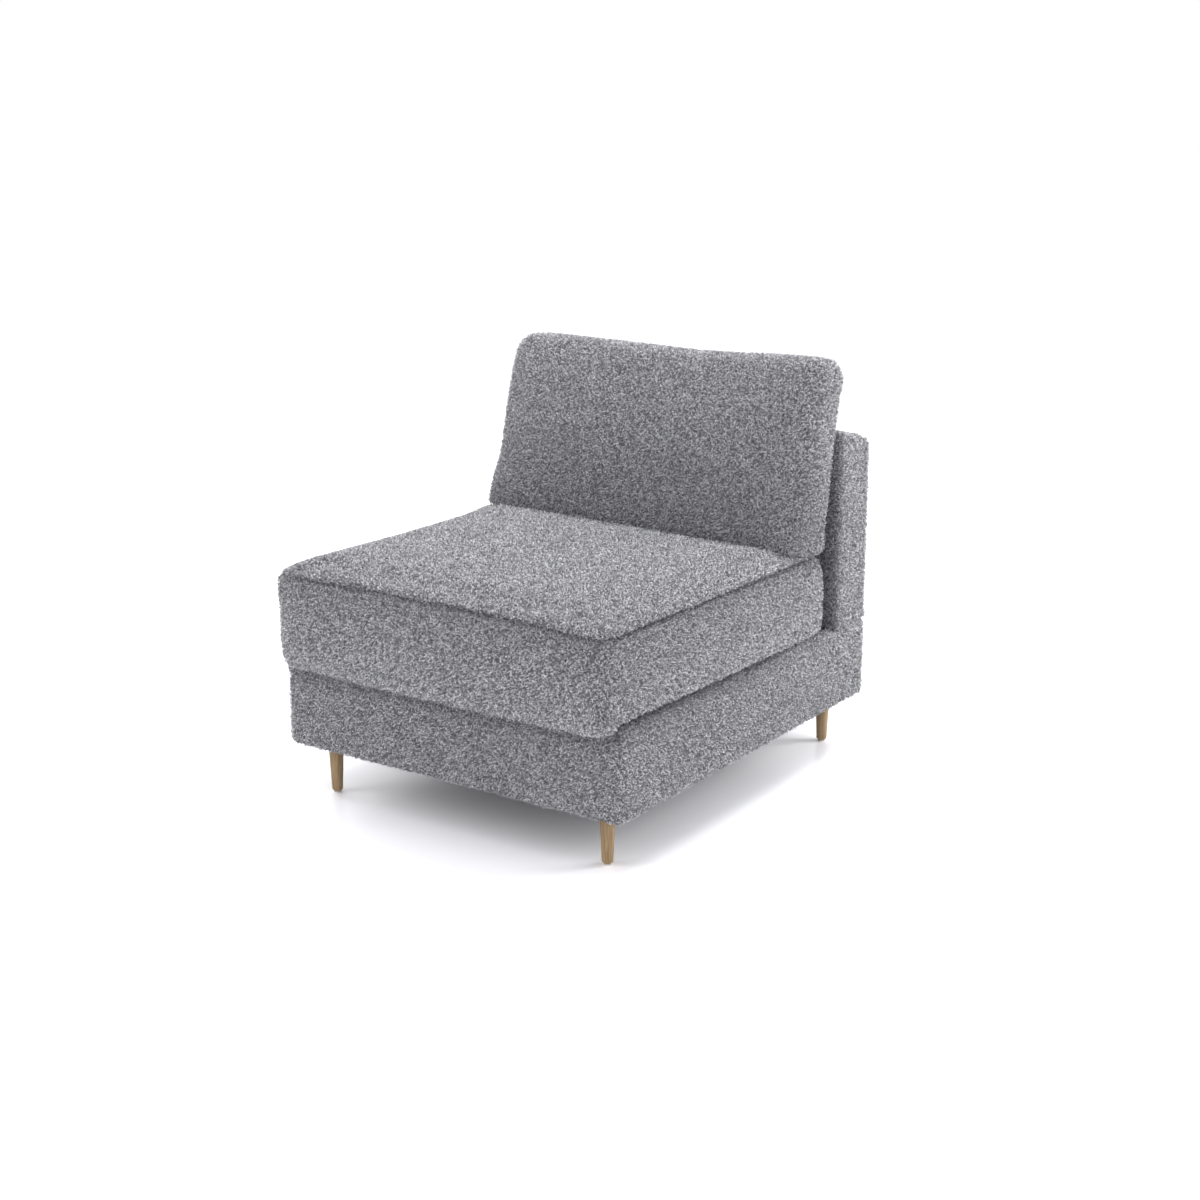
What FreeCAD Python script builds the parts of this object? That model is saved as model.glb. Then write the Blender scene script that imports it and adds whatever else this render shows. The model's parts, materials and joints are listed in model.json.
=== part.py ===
import FreeCAD, Part
import math
import os
import Sketcher
from FreeCAD import Placement, Rotation, Vector

# Armless upholstered seat with a loose seat cushion and a loose back cushion.
# Millimetres and degrees. +Z is up, the front faces -Y, the origin is on the floor
# under the middle of the whole object.

DIMENSIONS = (
    ("base_width", 762, "base cover, side to side"),
    ("base_depth", 889, "base cover, front to rear"),
    ("base_height", 174, "base cover at the front, underside to deck"),
    ("deck_fall", 15, "drop of the deck from the front edge to the back frame"),
    ("base_edge_radius", 11, "rounding of the base cover's edges"),
    ("cover_thickness", 4, "nubby fabric with its pile, on the frame"),
    ("padding_thickness", 10, "foam on the outside of the wooden frame"),
    ("rail_thickness", 20, "boards of the base and back frame"),
    ("fit_gap", 0.3, "room between pieces that come apart"),
    ("dust_cover_thickness", 1.5, "cloth under the base"),
    ("dust_cover_inset", 6, "edge of the dust cover inside the base"),
    ("deck_pad_thickness", 24, "foam under the deck"),
    ("deck_cloth_thickness", 2, "insulator cloth on the springs"),
    ("leg_height", 107, "floor to the underside of the base cover"),
    ("leg_inset_side", 64, "leg centre from the base's side"),
    ("leg_inset_front", 57, "leg centre from the base's front"),
    ("leg_inset_rear", 48, "leg centre from the base's rear"),
    ("leg_top_diameter", 30, "leg where it meets the base"),
    ("leg_foot_diameter", 21, "leg above its rounded foot"),
    ("leg_foot_rounding", 3, "rounding of the foot's edge"),
    ("glide_diameter", 15, "plastic glide under the leg"),
    ("glide_thickness", 3, "glide below the wood"),
    ("glide_pin_diameter", 3, "nail of the glide"),
    ("glide_pin_length", 12, "nail of the glide inside the leg"),
    ("leg_bolt_diameter", 8, "hanger bolt"),
    ("leg_bolt_depth", 28, "hanger bolt inside the leg"),
    ("bolt_play", 0.5, "hole larger than its bolt"),
    ("corner_block_reach", 90, "corner block along each rail"),
    ("corner_block_height", 45, "corner block, bottom to top"),
    ("prong_nut_diameter", 20, "flange of the prong nut"),
    ("prong_nut_thickness", 1.5, "flange of the prong nut"),
    ("prong_nut_barrel", 10, "barrel of the prong nut"),
    ("prong_nut_depth", 9, "barrel of the prong nut in the block"),
    ("bolt_end", 7, "hanger bolt above the prong nut"),
    ("stretcher_height", 45, "board along the middle of the base"),
    ("sill_thickness", 20, "board under the back frame"),
    ("sill_reach", 10, "sill in front of the back frame"),
    ("spring_count", 5, "zigzag springs side by side"),
    ("spring_spacing", 130, "centre to centre of the springs"),
    ("spring_turns", 22, "bends along one spring"),
    ("spring_bar", 24, "straight part of each bend"),
    ("wire_diameter", 3.6, "spring wire"),
    ("clip_width", 16, "spring clip along the rail"),
    ("clip_depth", 18, "spring clip across the rail"),
    ("clip_height", 7, "spring clip above the rail"),
    ("clip_play", 0.1, "room round the wire in its clip"),
    ("screw_diameter", 4.5, "frame screw"),
    ("screw_length", 50, "frame screw under its head"),
    ("screw_head_diameter", 9, "frame screw"),
    ("screw_head_height", 3, "frame screw"),
    ("screw_low", 40, "lower screws above the rail's underside"),
    ("screw_high", 95, "upper screws above the rail's underside"),
    ("sill_screw_inset", 22, "sill screws from the sill's long edges"),
    ("back_thickness", 122, "back cover, front to rear"),
    ("back_height", 401, "back cover's front above the deck"),
    ("back_top_fall", 30, "drop of the back's top, front to rear"),
    ("back_edge_radius", 12, "rounding of the back cover's edges"),
    ("back_rear_radius", 32, "rounding of the back's rear top edge"),
    ("back_hem_width", 30, "fabric turned in under the back"),
    ("web_thickness", 1.5, "elastic webbing"),
    ("web_width", 50, "elastic webbing"),
    ("web_spacing", 170, "centre to centre of the webbing bands"),
    ("web_count", 4, "webbing bands"),
    ("web_end", 2, "webbing band short of the rail's edge"),
    ("panel_thickness", 3, "fibreboard behind the back frame"),
    ("back_bolt_diameter", 8, "bolt from the back frame into the sill"),
    ("back_bolt_spacing", 170, "centre to centre of those bolts"),
    ("back_bolt_count", 4, "bolts between back frame and sill"),
    ("back_bolt_head", 5, "bolt head height"),
    ("back_bolt_head_diameter", 13, "bolt head across"),
    ("back_bolt_end", 3, "bolt below its nut"),
    ("nut_height", 6.5, "nut under the sill"),
    ("nut_across", 15, "nut across its corners"),
    ("washer_diameter", 22, "washer under the bolt head"),
    ("washer_thickness", 1.6, "washer under the bolt head"),
    ("seat_overhang", 45, "seat cushion in front of the base"),
    ("seat_side_inset", 1, "seat cushion's fullest line inside the base's side"),
    ("seat_rear_gap", 25, "room between the seat cushion and the back frame"),
    ("seat_boxing", 163, "seat cushion, deck to sewn seam"),
    ("seat_belly", 85, "height of the boxing's fullest line"),
    ("seat_crown", 36, "crown of the seat above its seam"),
    ("seat_seam_draw", 21, "seam drawn in from the fullest line"),
    ("seat_lip", 12, "front of the seat cushion below the deck"),
    ("seat_corner_radius", 36, "seat cushion's corners seen from above"),
    ("seat_front_bow", 7, "bow of the seat's front and rear"),
    ("seat_side_bow", 3, "bow of the seat's sides"),
    ("cushion_skin", 3, "cushion covers"),
    ("core_inset", 26, "foam core inside the seat cushion"),
    ("core_height", 140, "foam core"),
    ("core_rounding", 16, "edges of the foam core"),
    ("back_lean", 10.6, "back cushion leans to the rear"),
    ("seat_under_back", 186, "seat cushion under the front of the back cushion"),
    ("pillow_side_inset", 2, "back cushion's widest line inside the base's side"),
    ("pillow_height", 362, "back cushion along its lean"),
    ("pillow_thickness", 110, "back cushion at its edges"),
    ("pillow_crown", 20, "crown of the back cushion's front"),
    ("pillow_press", 22, "bottom of the back cushion pressed flat"),
    ("pillow_corner_radius", 42, "back cushion's corners seen from the front"),
    ("pillow_side_bow", 8, "bow of the back cushion's sides"),
    ("pillow_top_bow", 4, "bow of the back cushion's top"),
    ("casing_thickness", 1, "inner casing of the back cushion's fill"),
    ("zip_length", 600, "zip tape"),
    ("zip_width", 28, "zip tape"),
    ("zip_thickness", 1.5, "zip tape"),
    ("teeth_width", 6, "zip teeth"),
    ("teeth_height", 3, "zip teeth"),
    ("slit_width", 10, "slit in the cover over the teeth"),
    ("slider_length", 14, "zip slider"),
    ("slider_width", 8.4, "zip slider"),
    ("slider_height", 5.2, "zip slider over the tape"),
    ("slider_inset", 15, "closed slider from the end of the tape"),
    ("seat_zip_height", 80, "seat zip above the deck"),
    ("pillow_zip_height", 69, "back cushion's zip above its underside"),
)

doc = FreeCAD.newDocument("armless_sofa")
sheet = doc.addObject("Spreadsheet::Sheet", "dims")
for row, (alias, number, note) in enumerate(DIMENSIONS, start=1):
    sheet.set(f"A{row}", note)
    sheet.set(f"B{row}", str(number))
    sheet.setAlias(f"B{row}", alias)
doc.recompute()


class Size:
    """A number together with the expression over the sheet that gives it."""

    def __init__(self, value, text):
        self.value = float(value)
        self.text = text

    def __add__(self, other):
        other = as_size(other)
        return Size(self.value + other.value, f"({self.text} + {other.text})")

    def __radd__(self, other):
        return as_size(other) + self

    def __sub__(self, other):
        other = as_size(other)
        return Size(self.value - other.value, f"({self.text} - {other.text})")

    def __rsub__(self, other):
        return as_size(other) - self

    def __mul__(self, other):
        other = as_size(other)
        return Size(self.value * other.value, f"({self.text} * {other.text})")

    def __rmul__(self, other):
        return as_size(other) * self

    def __truediv__(self, other):
        other = as_size(other)
        return Size(self.value / other.value, f"({self.text} / {other.text})")

    def __neg__(self):
        return Size(-self.value, f"(0 - {self.text})")


def as_size(item):
    return item if isinstance(item, Size) else Size(item, str(float(item)))


def dim(alias):
    return Size(sheet.get(alias), f"dims.{alias}")


def root(item):
    return Size(math.sqrt(item.value), f"sqrt({item.text})")


def bind(target, path, item):
    target.setExpression(path, as_size(item).text)


# Planes and lines that several pieces share

cover = dim("cover_thickness")
gap = dim("fit_gap")
board = dim("rail_thickness")
wood_inset = cover + dim("padding_thickness")
rail_inner = wood_inset + board

side = dim("base_width") / 2
base_front = (dim("seat_overhang") - dim("base_depth")) / 2
base_rear = base_front + dim("base_depth")
back_front = base_rear - dim("back_thickness")
underside = dim("leg_height")
deck_front = underside + dim("base_height")
deck_rear = deck_front - dim("deck_fall")
deck_slope = dim("deck_fall") / (back_front - base_front)
sill_front = back_front - dim("sill_reach")
sill_top = deck_rear - cover
sill_bottom = sill_top - dim("sill_thickness")

wood_side = side - wood_inset
inner_side = side - rail_inner
wood_front = base_front + wood_inset
wood_rear = base_rear - wood_inset
inner_front = base_front + rail_inner
inner_rear = base_rear - rail_inner
rail_bottom = underside + cover

deck_stack = cover + dim("deck_pad_thickness") + dim("deck_cloth_thickness")
clip_seat = deck_stack + dim("clip_height") + gap
front_clip_y = wood_front + board / 2
rear_clip_y = sill_front - board / 2

back_slope = dim("back_top_fall") / dim("back_thickness")
back_top = deck_rear + dim("back_height")
back_stretch = root(back_slope * back_slope + 1)
back_frame_front = back_front + wood_inset + dim("web_thickness")
back_frame_rear = wood_rear - dim("panel_thickness")
back_bottom = deck_rear + cover
seat_half_width = side - dim("seat_side_inset")
seat_depth = back_front - base_front + dim("seat_overhang") - dim("seat_rear_gap")
pillow_half_width = side - dim("pillow_side_inset")


def deck_at(y):
    """Height of the deck at y, in front of the back frame."""
    return deck_front - deck_slope * (y - base_front)


def back_top_at(y, inset):
    """Height of the back's top at y, inset square to its slope."""
    return back_top - back_slope * (y - back_front) - back_stretch * inset


front_rail_top = deck_at(front_clip_y) - clip_seat
spring_rail_top = deck_at(rear_clip_y) - clip_seat

# How pieces are made

subparts = []


def keep(item, label):
    """Name a finished piece as a sub-part."""
    item.Label = label
    subparts.append(item)
    return item


def origin_plane(body, role):
    return next(item for item in body.Origin.OriginFeatures if item.Role == role)


def outline(body, role, points, offset=0):
    """Closed polygon on one of the body's origin planes, each corner placed from the origin."""
    sketch = body.newObject("Sketcher::SketchObject", "outline")
    sketch.AttachmentSupport = [(origin_plane(body, role), "")]
    sketch.MapMode = "FlatFace"
    bind(sketch, "AttachmentOffset.Base.z", offset)
    points = [(as_size(across), as_size(up)) for across, up in points]
    corners = [Vector(across.value, up.value, 0) for across, up in points]
    for start, end in zip(corners, corners[1:] + corners[:1]):
        sketch.addGeometry(Part.LineSegment(start, end), False)
    for index in range(len(corners)):
        following = (index + 1) % len(corners)
        sketch.addConstraint(Sketcher.Constraint("Coincident", index, 2, following, 1))
    for index, (across, up) in enumerate(points):
        place = sketch.addConstraint(Sketcher.Constraint("DistanceX", -1, 1, index, 1, across.value))
        bind(sketch, f"Constraints[{place}]", across)
        place = sketch.addConstraint(Sketcher.Constraint("DistanceY", -1, 1, index, 1, up.value))
        bind(sketch, f"Constraints[{place}]", up)
    return sketch


def prism(name, role, points, start, end):
    """Polygon on an origin plane, padded from start to end along the plane's normal."""
    body = doc.addObject("PartDesign::Body", name)
    sketch = outline(body, role, points, start)
    pad = body.newObject("PartDesign::Pad", "pad")
    pad.Profile = sketch
    bind(pad, "Length", end - start)
    doc.recompute()
    return body


def round_edges(body, chosen, radius):
    """Fillet the edges of the body's tip that the test picks."""
    tip = body.Tip
    names = [f"Edge{count}" for count, edge in enumerate(tip.Shape.Edges, start=1) if chosen(edge)]
    fillet = body.newObject("PartDesign::Fillet", "rounding")
    fillet.Base = (tip, names)
    bind(fillet, "Radius", radius)
    doc.recompute()


def box(name, low, high):
    """Block between two corners."""
    block = doc.addObject("Part::Box", name)
    for axis, length, start, end in zip("xyz", ("Length", "Width", "Height"), low, high):
        bind(block, length, end - start)
        bind(block, f"Placement.Base.{axis}", start)
    return block


TURNS = {
    "+z": Rotation(),
    "-z": Rotation(Vector(1, 0, 0), 180),
    "+x": Rotation(Vector(0, 1, 0), 90),
    "-x": Rotation(Vector(0, 1, 0), -90),
}


def cylinder(name, foot, diameter, length, way="+z"):
    """Round bar from its foot along the way."""
    bar = doc.addObject("Part::Cylinder", name)
    bar.Placement = Placement(Vector(), TURNS[way])
    bind(bar, "Radius", diameter / 2)
    bind(bar, "Height", length)
    for axis, start in zip("xyz", foot):
        bind(bar, f"Placement.Base.{axis}", start)
    return bar


def join(name, members):
    fused = doc.addObject("Part::MultiFuse", name)
    fused.Shapes = members
    return fused


def group(name, members):
    compound = doc.addObject("Part::Compound", name)
    compound.Links = members
    return compound


def cut(name, base, tools):
    """Base with the tools taken out."""
    result = doc.addObject("Part::Cut", name)
    result.Base = base
    result.Tool = tools[0] if len(tools) == 1 else group(f"{name}_tools", tools)
    return result


# Base: outside shape, cover and padding


def base_form(name, inset, bottom):
    """Side view of the base, inset from the cover's outside, across its width, with rounded edges."""
    front = base_front + inset
    rear = base_rear - inset
    points = (
        (front, bottom),
        (front, deck_at(front) - inset),
        (back_front, deck_rear - inset),
        (rear, deck_rear - inset),
        (rear, bottom),
    )
    body = prism(name, "YZ_Plane", points, inset - side, side - inset)
    middle = (bottom.value + deck_rear.value) / 2
    round_edges(body, lambda edge: edge.CenterOfMass.z > bottom.value + 1
                and (edge.CenterOfMass.z > middle + 1 or abs(edge.tangentAt(edge.FirstParameter).z) > 0.9)
                and not is_kink(edge), dim("base_edge_radius") - inset)
    return body


def is_kink(edge):
    """The deck's slope meets its level part on a line across the base, which isn't rounded."""
    return abs(edge.CenterOfMass.x) < 1 and abs(edge.CenterOfMass.y - back_front.value) < 1


def back_bolt_places():
    count = int(dim("back_bolt_count").value)
    for index in range(count):
        yield dim("back_bolt_spacing") * (index - (count - 1) / 2)


back_bolt_y = (back_frame_front + back_frame_rear) / 2


def bolt_holes(name, low, high, play):
    """Round bars that clear the back frame's bolts between two heights."""
    bars = []
    for count, x in enumerate(back_bolt_places(), start=1):
        place = (x, back_bolt_y, low)
        bars.append(cylinder(f"{name}_{count}", place, dim("back_bolt_diameter") + play, high - low))
    return bars


def make_base_cover():
    outside = base_form("base_cover_outside", as_size(0), underside)
    inside = base_form("base_cover_inside", cover, rail_bottom)
    mouth = box("base_cover_mouth", (-inner_side, inner_front, underside - 1),
                (inner_side, inner_rear, rail_bottom + 1))
    holes = bolt_holes("base_cover_hole", sill_top - 1, deck_rear + 1, dim("bolt_play"))
    keep(cut("base_cover_shell", outside, [inside, mouth] + holes), "base_cover")


def make_base_padding():
    outside = base_form("base_padding_outside", cover, rail_bottom)
    wood = box("base_wood_space", (-wood_side, wood_front, rail_bottom - 1),
               (wood_side, wood_rear, deck_front + 1))
    keep(cut("base_padding_ring", outside, [wood]), "base_padding")


# Base: screws and boards


def screw(name, head, way, sign):
    """Countersunk screw whose head lies flush with the face that it enters."""
    x, y, z = head
    top = cylinder(f"{name}_head", head, dim("screw_head_diameter"), dim("screw_head_height"), way)
    step = dim("screw_head_height") * sign
    foot = (x + step, y, z) if way.endswith("x") else (x, y, z + step)
    shank = cylinder(f"{name}_shank", foot, dim("screw_diameter"), dim("screw_length"), way)
    return join(name, [top, shank])


def make_screws():
    screws = []
    cross_boards = (wood_front + board / 2, sill_front - board / 2, wood_rear - board / 2)
    for hand, way, sign in ((-1, "+x", 1), (1, "-x", -1)):
        for y in cross_boards:
            for level in ("screw_low", "screw_high"):
                place = (wood_side * hand, y, rail_bottom + dim(level))
                screws.append(screw(f"screw_{len(screws) + 1}", place, way, sign))
        for y in (sill_front + dim("sill_screw_inset"), wood_rear - dim("sill_screw_inset")):
            place = ((wood_side - board / 2) * hand, y, sill_top)
            screws.append(screw(f"screw_{len(screws) + 1}", place, "-z", -1))
    return keep(group("screw_group", screws), "frame_screws")


def make_boards(screws):
    side_points = (
        (wood_front, rail_bottom),
        (wood_front, deck_at(wood_front) - deck_stack),
        (sill_front, deck_at(sill_front) - deck_stack),
        (sill_front, sill_bottom),
        (wood_rear, sill_bottom),
        (wood_rear, rail_bottom),
    )
    left = prism("left_rail_board", "YZ_Plane", side_points, -wood_side, -inner_side)
    right = prism("right_rail_board", "YZ_Plane", side_points, inner_side, wood_side)
    front = box("front_rail_board", (-inner_side, wood_front, rail_bottom),
                (inner_side, wood_front + board, front_rail_top))
    spring = box("spring_rail_board", (-inner_side, sill_front - board, rail_bottom),
                 (inner_side, sill_front, spring_rail_top))
    rear = box("rear_rail_board", (-inner_side, wood_rear - board, rail_bottom),
               (inner_side, wood_rear, sill_bottom))
    sill = box("sill_board", (-wood_side, sill_front, sill_bottom), (wood_side, wood_rear, sill_top))
    sill_holes = bolt_holes("sill_hole", sill_bottom - 1, sill_top + 1, dim("bolt_play"))
    keep(cut("left_rail_cut", left, [screws]), "left_rail")
    keep(cut("right_rail_cut", right, [screws]), "right_rail")
    keep(cut("front_rail_cut", front, [screws]), "front_rail")
    keep(cut("spring_rail_cut", spring, [screws]), "spring_rail")
    keep(cut("rear_rail_cut", rear, [screws]), "rear_rail")
    keep(cut("sill_cut", sill, [screws] + sill_holes), "back_sill")
    keep(box("stretcher", (-board / 2, inner_front, rail_bottom),
             (board / 2, sill_front - board, rail_bottom + dim("stretcher_height"))), "centre_stretcher")


# Base: springs and deck


def spring_places():
    count = int(dim("spring_count").value)
    for index in range(count):
        yield dim("spring_spacing") * (index - (count - 1) / 2)


def zigzag_path(pitch, turns, half_bar):
    """Straight bars across, joined by half turns at alternate ends."""
    edges = []
    hand = 1
    for turn in range(turns + 1):
        y = turn * pitch
        start = Vector(-half_bar * hand, y, 0)
        end = Vector(half_bar * hand, y, 0)
        edges.append(Part.LineSegment(start, end).toShape())
        if turn < turns:
            outer = Vector((half_bar + pitch / 2) * hand, y + pitch / 2, 0)
            following = Vector(half_bar * hand, y + pitch, 0)
            edges.append(Part.Arc(end, outer, following).toShape())
        hand = -hand
    return Part.Wire(edges)


def zigzag_spring(length, turns, half_bar, radius):
    pitch = length / turns
    path = zigzag_path(pitch, turns, half_bar)
    ring = Part.Wire(Part.Circle(Vector(-half_bar, 0, 0), Vector(1, 0, 0), radius).toShape())
    sweep = Part.BRepOffsetAPI.MakePipeShell(path)
    sweep.add(ring, False, False)
    sweep.build()
    sweep.makeSolid()
    return sweep.shape()


def make_springs():
    wire_up = dim("clip_height").value / 2
    front_end = Vector(0, front_clip_y.value, front_rail_top.value + wire_up)
    rear_end = Vector(0, rear_clip_y.value, spring_rail_top.value + wire_up)
    run = rear_end - front_end
    tilt = math.degrees(math.atan2(run.z, run.y))
    spring = zigzag_spring(run.Length, int(dim("spring_turns").value), dim("spring_bar").value / 2,
                           dim("wire_diameter").value / 2)
    solids = []
    for x in spring_places():
        place = Placement(front_end + Vector(x.value, 0, 0), Rotation(Vector(1, 0, 0), tilt))
        solids.append(spring.transformed(place.toMatrix(), True))
    springs = doc.addObject("Part::Feature", "springs")
    springs.Shape = Part.makeCompound(solids)
    keep(springs, "seat_springs")


def make_clips():
    clips = []
    half_width = dim("clip_width") / 2
    half_depth = dim("clip_depth") / 2
    bore = dim("wire_diameter") + dim("clip_play") * 2
    for x in spring_places():
        for y, seat in ((front_clip_y, front_rail_top), (rear_clip_y, spring_rail_top)):
            name = f"clip_{len(clips) + 1}"
            block = box(f"{name}_block", (x - half_width, y - half_depth, seat),
                        (x + half_width, y + half_depth, seat + dim("clip_height")))
            wire = cylinder(f"{name}_bore", (x - half_width - 1, y, seat + dim("clip_height") / 2),
                            bore, dim("clip_width") + 2, "+x")
            clips.append(cut(name, block, [wire]))
    keep(group("clip_group", clips), "spring_clips")


def deck_layer(name, label, top, thickness):
    """Sheet parallel to the deck, from the front rail to the sill."""
    points = []
    for y, drop in ((wood_front, top + thickness), (wood_front, top),
                    (sill_front, top), (sill_front, top + thickness)):
        points.append((y, deck_at(y) - drop))
    keep(prism(name, "YZ_Plane", points, -wood_side, wood_side), label)


def make_deck():
    deck_layer("pad", "deck_pad", cover, dim("deck_pad_thickness"))
    deck_layer("cloth", "deck_cloth", cover + dim("deck_pad_thickness"), dim("deck_cloth_thickness"))


# Legs, with what fastens them and what they stand on


def leg_places():
    """Name of each leg, its centre, and the hands of its corner."""
    x = side - dim("leg_inset_side")
    for depth, y, toward in (("front", base_front + dim("leg_inset_front"), -1),
                             ("rear", base_rear - dim("leg_inset_rear"), 1)):
        for width, hand in (("left", -1), ("right", 1)):
            yield f"{depth}_{width}", x * hand, y, hand, toward


leg_top = underside - dim("dust_cover_thickness")
block_top = underside + dim("corner_block_height")


def make_leg(place, x, y):
    foot = dim("glide_thickness")
    rounding = dim("leg_foot_rounding")
    foot_radius = dim("leg_foot_diameter") / 2
    top_radius = dim("leg_top_diameter") / 2
    body = doc.addObject("PartDesign::Body", f"leg_{place}_body")
    sketch = outline(body, "XZ_Plane", (
        (0, foot),
        (foot_radius - rounding, foot),
        (foot_radius, foot + rounding),
        (top_radius, leg_top),
        (0, leg_top),
    ))
    turned = body.newObject("PartDesign::Revolution", "turned")
    turned.Profile = sketch
    turned.ReferenceAxis = (sketch, ["V_Axis"])
    turned.Angle = 360
    doc.recompute()
    round_edges(body, lambda edge: edge.Length > 1 and abs(edge.CenterOfMass.z - foot.value - rounding.value) < 0.1,
                rounding)
    bind(body, "Placement.Base.x", x)
    bind(body, "Placement.Base.y", y)
    bolt = cylinder(f"leg_{place}_bolt_hole", (x, y, leg_top - dim("leg_bolt_depth") - 1),
                    dim("leg_bolt_diameter") + dim("bolt_play") / 2, dim("leg_bolt_depth") + 2)
    pin = cylinder(f"leg_{place}_pin_hole", (x, y, foot - 1), dim("glide_pin_diameter"),
                   dim("glide_pin_length") + 1)
    keep(cut(f"leg_{place}_cut", body, [bolt, pin]), f"leg_{place}")


def make_corner_block(place, x, y, hand, toward):
    corner_x = inner_side * hand
    corner_y = inner_front if toward < 0 else inner_rear
    reach = dim("corner_block_reach")
    points = ((corner_x, corner_y), (corner_x - reach * hand, corner_y), (corner_x, corner_y - reach * toward))
    block = prism(f"block_{place}", "XY_Plane", points, underside, block_top)
    bolt = cylinder(f"block_{place}_bolt_hole", (x, y, underside - 1),
                    dim("leg_bolt_diameter") + dim("bolt_play"), dim("corner_block_height") + 2)
    barrel = cylinder(f"block_{place}_nut_hole", (x, y, block_top - dim("prong_nut_depth")),
                      dim("prong_nut_barrel"), dim("prong_nut_depth") + 1)
    keep(cut(f"block_{place}_cut", block, [bolt, barrel]), f"corner_block_{place}")


def make_leg_hardware():
    nuts = []
    bolts = []
    glides = []
    for place, x, y, _hand, _toward in leg_places():
        flange = cylinder(f"nut_{place}_flange", (x, y, block_top), dim("prong_nut_diameter"),
                          dim("prong_nut_thickness"))
        barrel = cylinder(f"nut_{place}_barrel", (x, y, block_top - dim("prong_nut_depth")),
                          dim("prong_nut_barrel"), dim("prong_nut_depth"))
        thread = cylinder(f"nut_{place}_thread", (x, y, block_top - dim("prong_nut_depth") - 1),
                          dim("leg_bolt_diameter"), dim("prong_nut_depth") + dim("prong_nut_thickness") + 2)
        nuts.append(cut(f"nut_{place}", join(f"nut_{place}_whole", [flange, barrel]), [thread]))
        low = leg_top - dim("leg_bolt_depth")
        high = block_top + dim("prong_nut_thickness") + dim("bolt_end")
        bolts.append(cylinder(f"hanger_bolt_{place}", (x, y, low), dim("leg_bolt_diameter"), high - low))
        disc = cylinder(f"glide_{place}_disc", (x, y, as_size(0)), dim("glide_diameter"), dim("glide_thickness"))
        pin = cylinder(f"glide_{place}_pin", (x, y, dim("glide_thickness")), dim("glide_pin_diameter"),
                       dim("glide_pin_length"))
        glides.append(join(f"glide_{place}", [disc, pin]))
    keep(group("prong_nut_group", nuts), "prong_nuts")
    keep(group("hanger_bolt_group", bolts), "leg_bolts")
    keep(group("glide_group", glides), "leg_glides")


def make_dust_cover():
    inset = dim("dust_cover_inset")
    cloth = box("dust_cloth", (inset - side, base_front + inset, leg_top),
                (side - inset, base_rear - inset, underside))
    holes = []
    for place, x, y, _hand, _toward in leg_places():
        holes.append(cylinder(f"dust_hole_{place}", (x, y, leg_top - 1),
                              dim("leg_bolt_diameter") + dim("bolt_play"), dim("dust_cover_thickness") + 2))
    keep(cut("dust_cover_cut", cloth, holes), "dust_cover")


# Back frame


def back_points(front, rear, bottom, inset):
    """Side view of the back frame between two lines, its sloped top inset by a distance."""
    return ((front, bottom), (front, back_top_at(front, inset)), (rear, back_top_at(rear, inset)), (rear, bottom))


def back_form(name, inset, bottom):
    """Outside of the upholstered back, inset, with rounded edges."""
    points = back_points(back_front + inset, base_rear - inset, bottom, inset)
    body = prism(name, "YZ_Plane", points, inset - side, side - inset)
    top = back_top_at(base_rear - inset, inset).value
    rear = (base_rear - inset).value

    def on_rear_top(edge):
        centre = edge.CenterOfMass
        return abs(centre.x) < 1 and abs(centre.y - rear) < 1 and abs(centre.z - top) < 1

    round_edges(body, on_rear_top, dim("back_rear_radius") - inset)
    round_edges(body, lambda edge: edge.CenterOfMass.z > bottom.value + 1 and not is_seam(edge, rear),
                dim("back_edge_radius") - inset)
    return body


def is_seam(edge, rear):
    """Edges where the rear rounding runs out smoothly across the back aren't rounded again."""
    centre = edge.CenterOfMass
    return abs(centre.x) < 1 and centre.y > back_front.value + 15


def make_back_cover():
    outside = back_form("back_cover_outside", as_size(0), deck_rear)
    inside = back_form("back_cover_inside", cover, back_bottom)
    hem = dim("back_hem_width")
    mouth = box("back_cover_mouth", (hem - side, back_front + hem, deck_rear - 1),
                (side - hem, base_rear - hem, back_bottom + 1))
    keep(cut("back_cover_shell", outside, [inside, mouth]), "back_cover")


def make_back_padding():
    outside = back_form("back_padding_outside", cover, back_bottom)
    points = back_points(back_front + wood_inset, wood_rear, back_bottom - 1, wood_inset)
    space = prism("back_wood_space", "YZ_Plane", points, -wood_side, wood_side)
    keep(cut("back_padding_shell", outside, [space]), "back_padding")


def make_back_frame():
    post = back_points(back_frame_front, back_frame_rear, back_bottom, wood_inset)
    keep(prism("left_post", "YZ_Plane", post, -wood_side, -inner_side), "back_post_left")
    keep(prism("right_post", "YZ_Plane", post, inner_side, wood_side), "back_post_right")
    lower = box("lower_board", (-inner_side, back_frame_front, back_bottom),
                (inner_side, back_frame_rear, back_bottom + board))
    holes = bolt_holes("lower_board_hole", back_bottom - 1, back_bottom + board + 1, dim("bolt_play"))
    keep(cut("lower_board_cut", lower, holes), "back_bottom_rail")
    under = wood_inset + board
    upper = (
        (back_frame_front, back_top_at(back_frame_front, under)),
        (back_frame_front, back_top_at(back_frame_front, wood_inset)),
        (back_frame_rear, back_top_at(back_frame_rear, wood_inset)),
        (back_frame_rear, back_top_at(back_frame_rear, under)),
    )
    keep(prism("upper_board", "YZ_Plane", upper, -inner_side, inner_side), "back_top_rail")
    middle = back_points(back_frame_front, back_frame_rear, back_bottom + board, under)
    keep(prism("middle_post", "YZ_Plane", middle, -board / 2, board / 2), "back_post_centre")
    keep(box("fibreboard", (-wood_side, back_frame_rear, back_bottom),
             (wood_side, wood_rear, back_top_at(wood_rear, wood_inset))), "back_panel")


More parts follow.
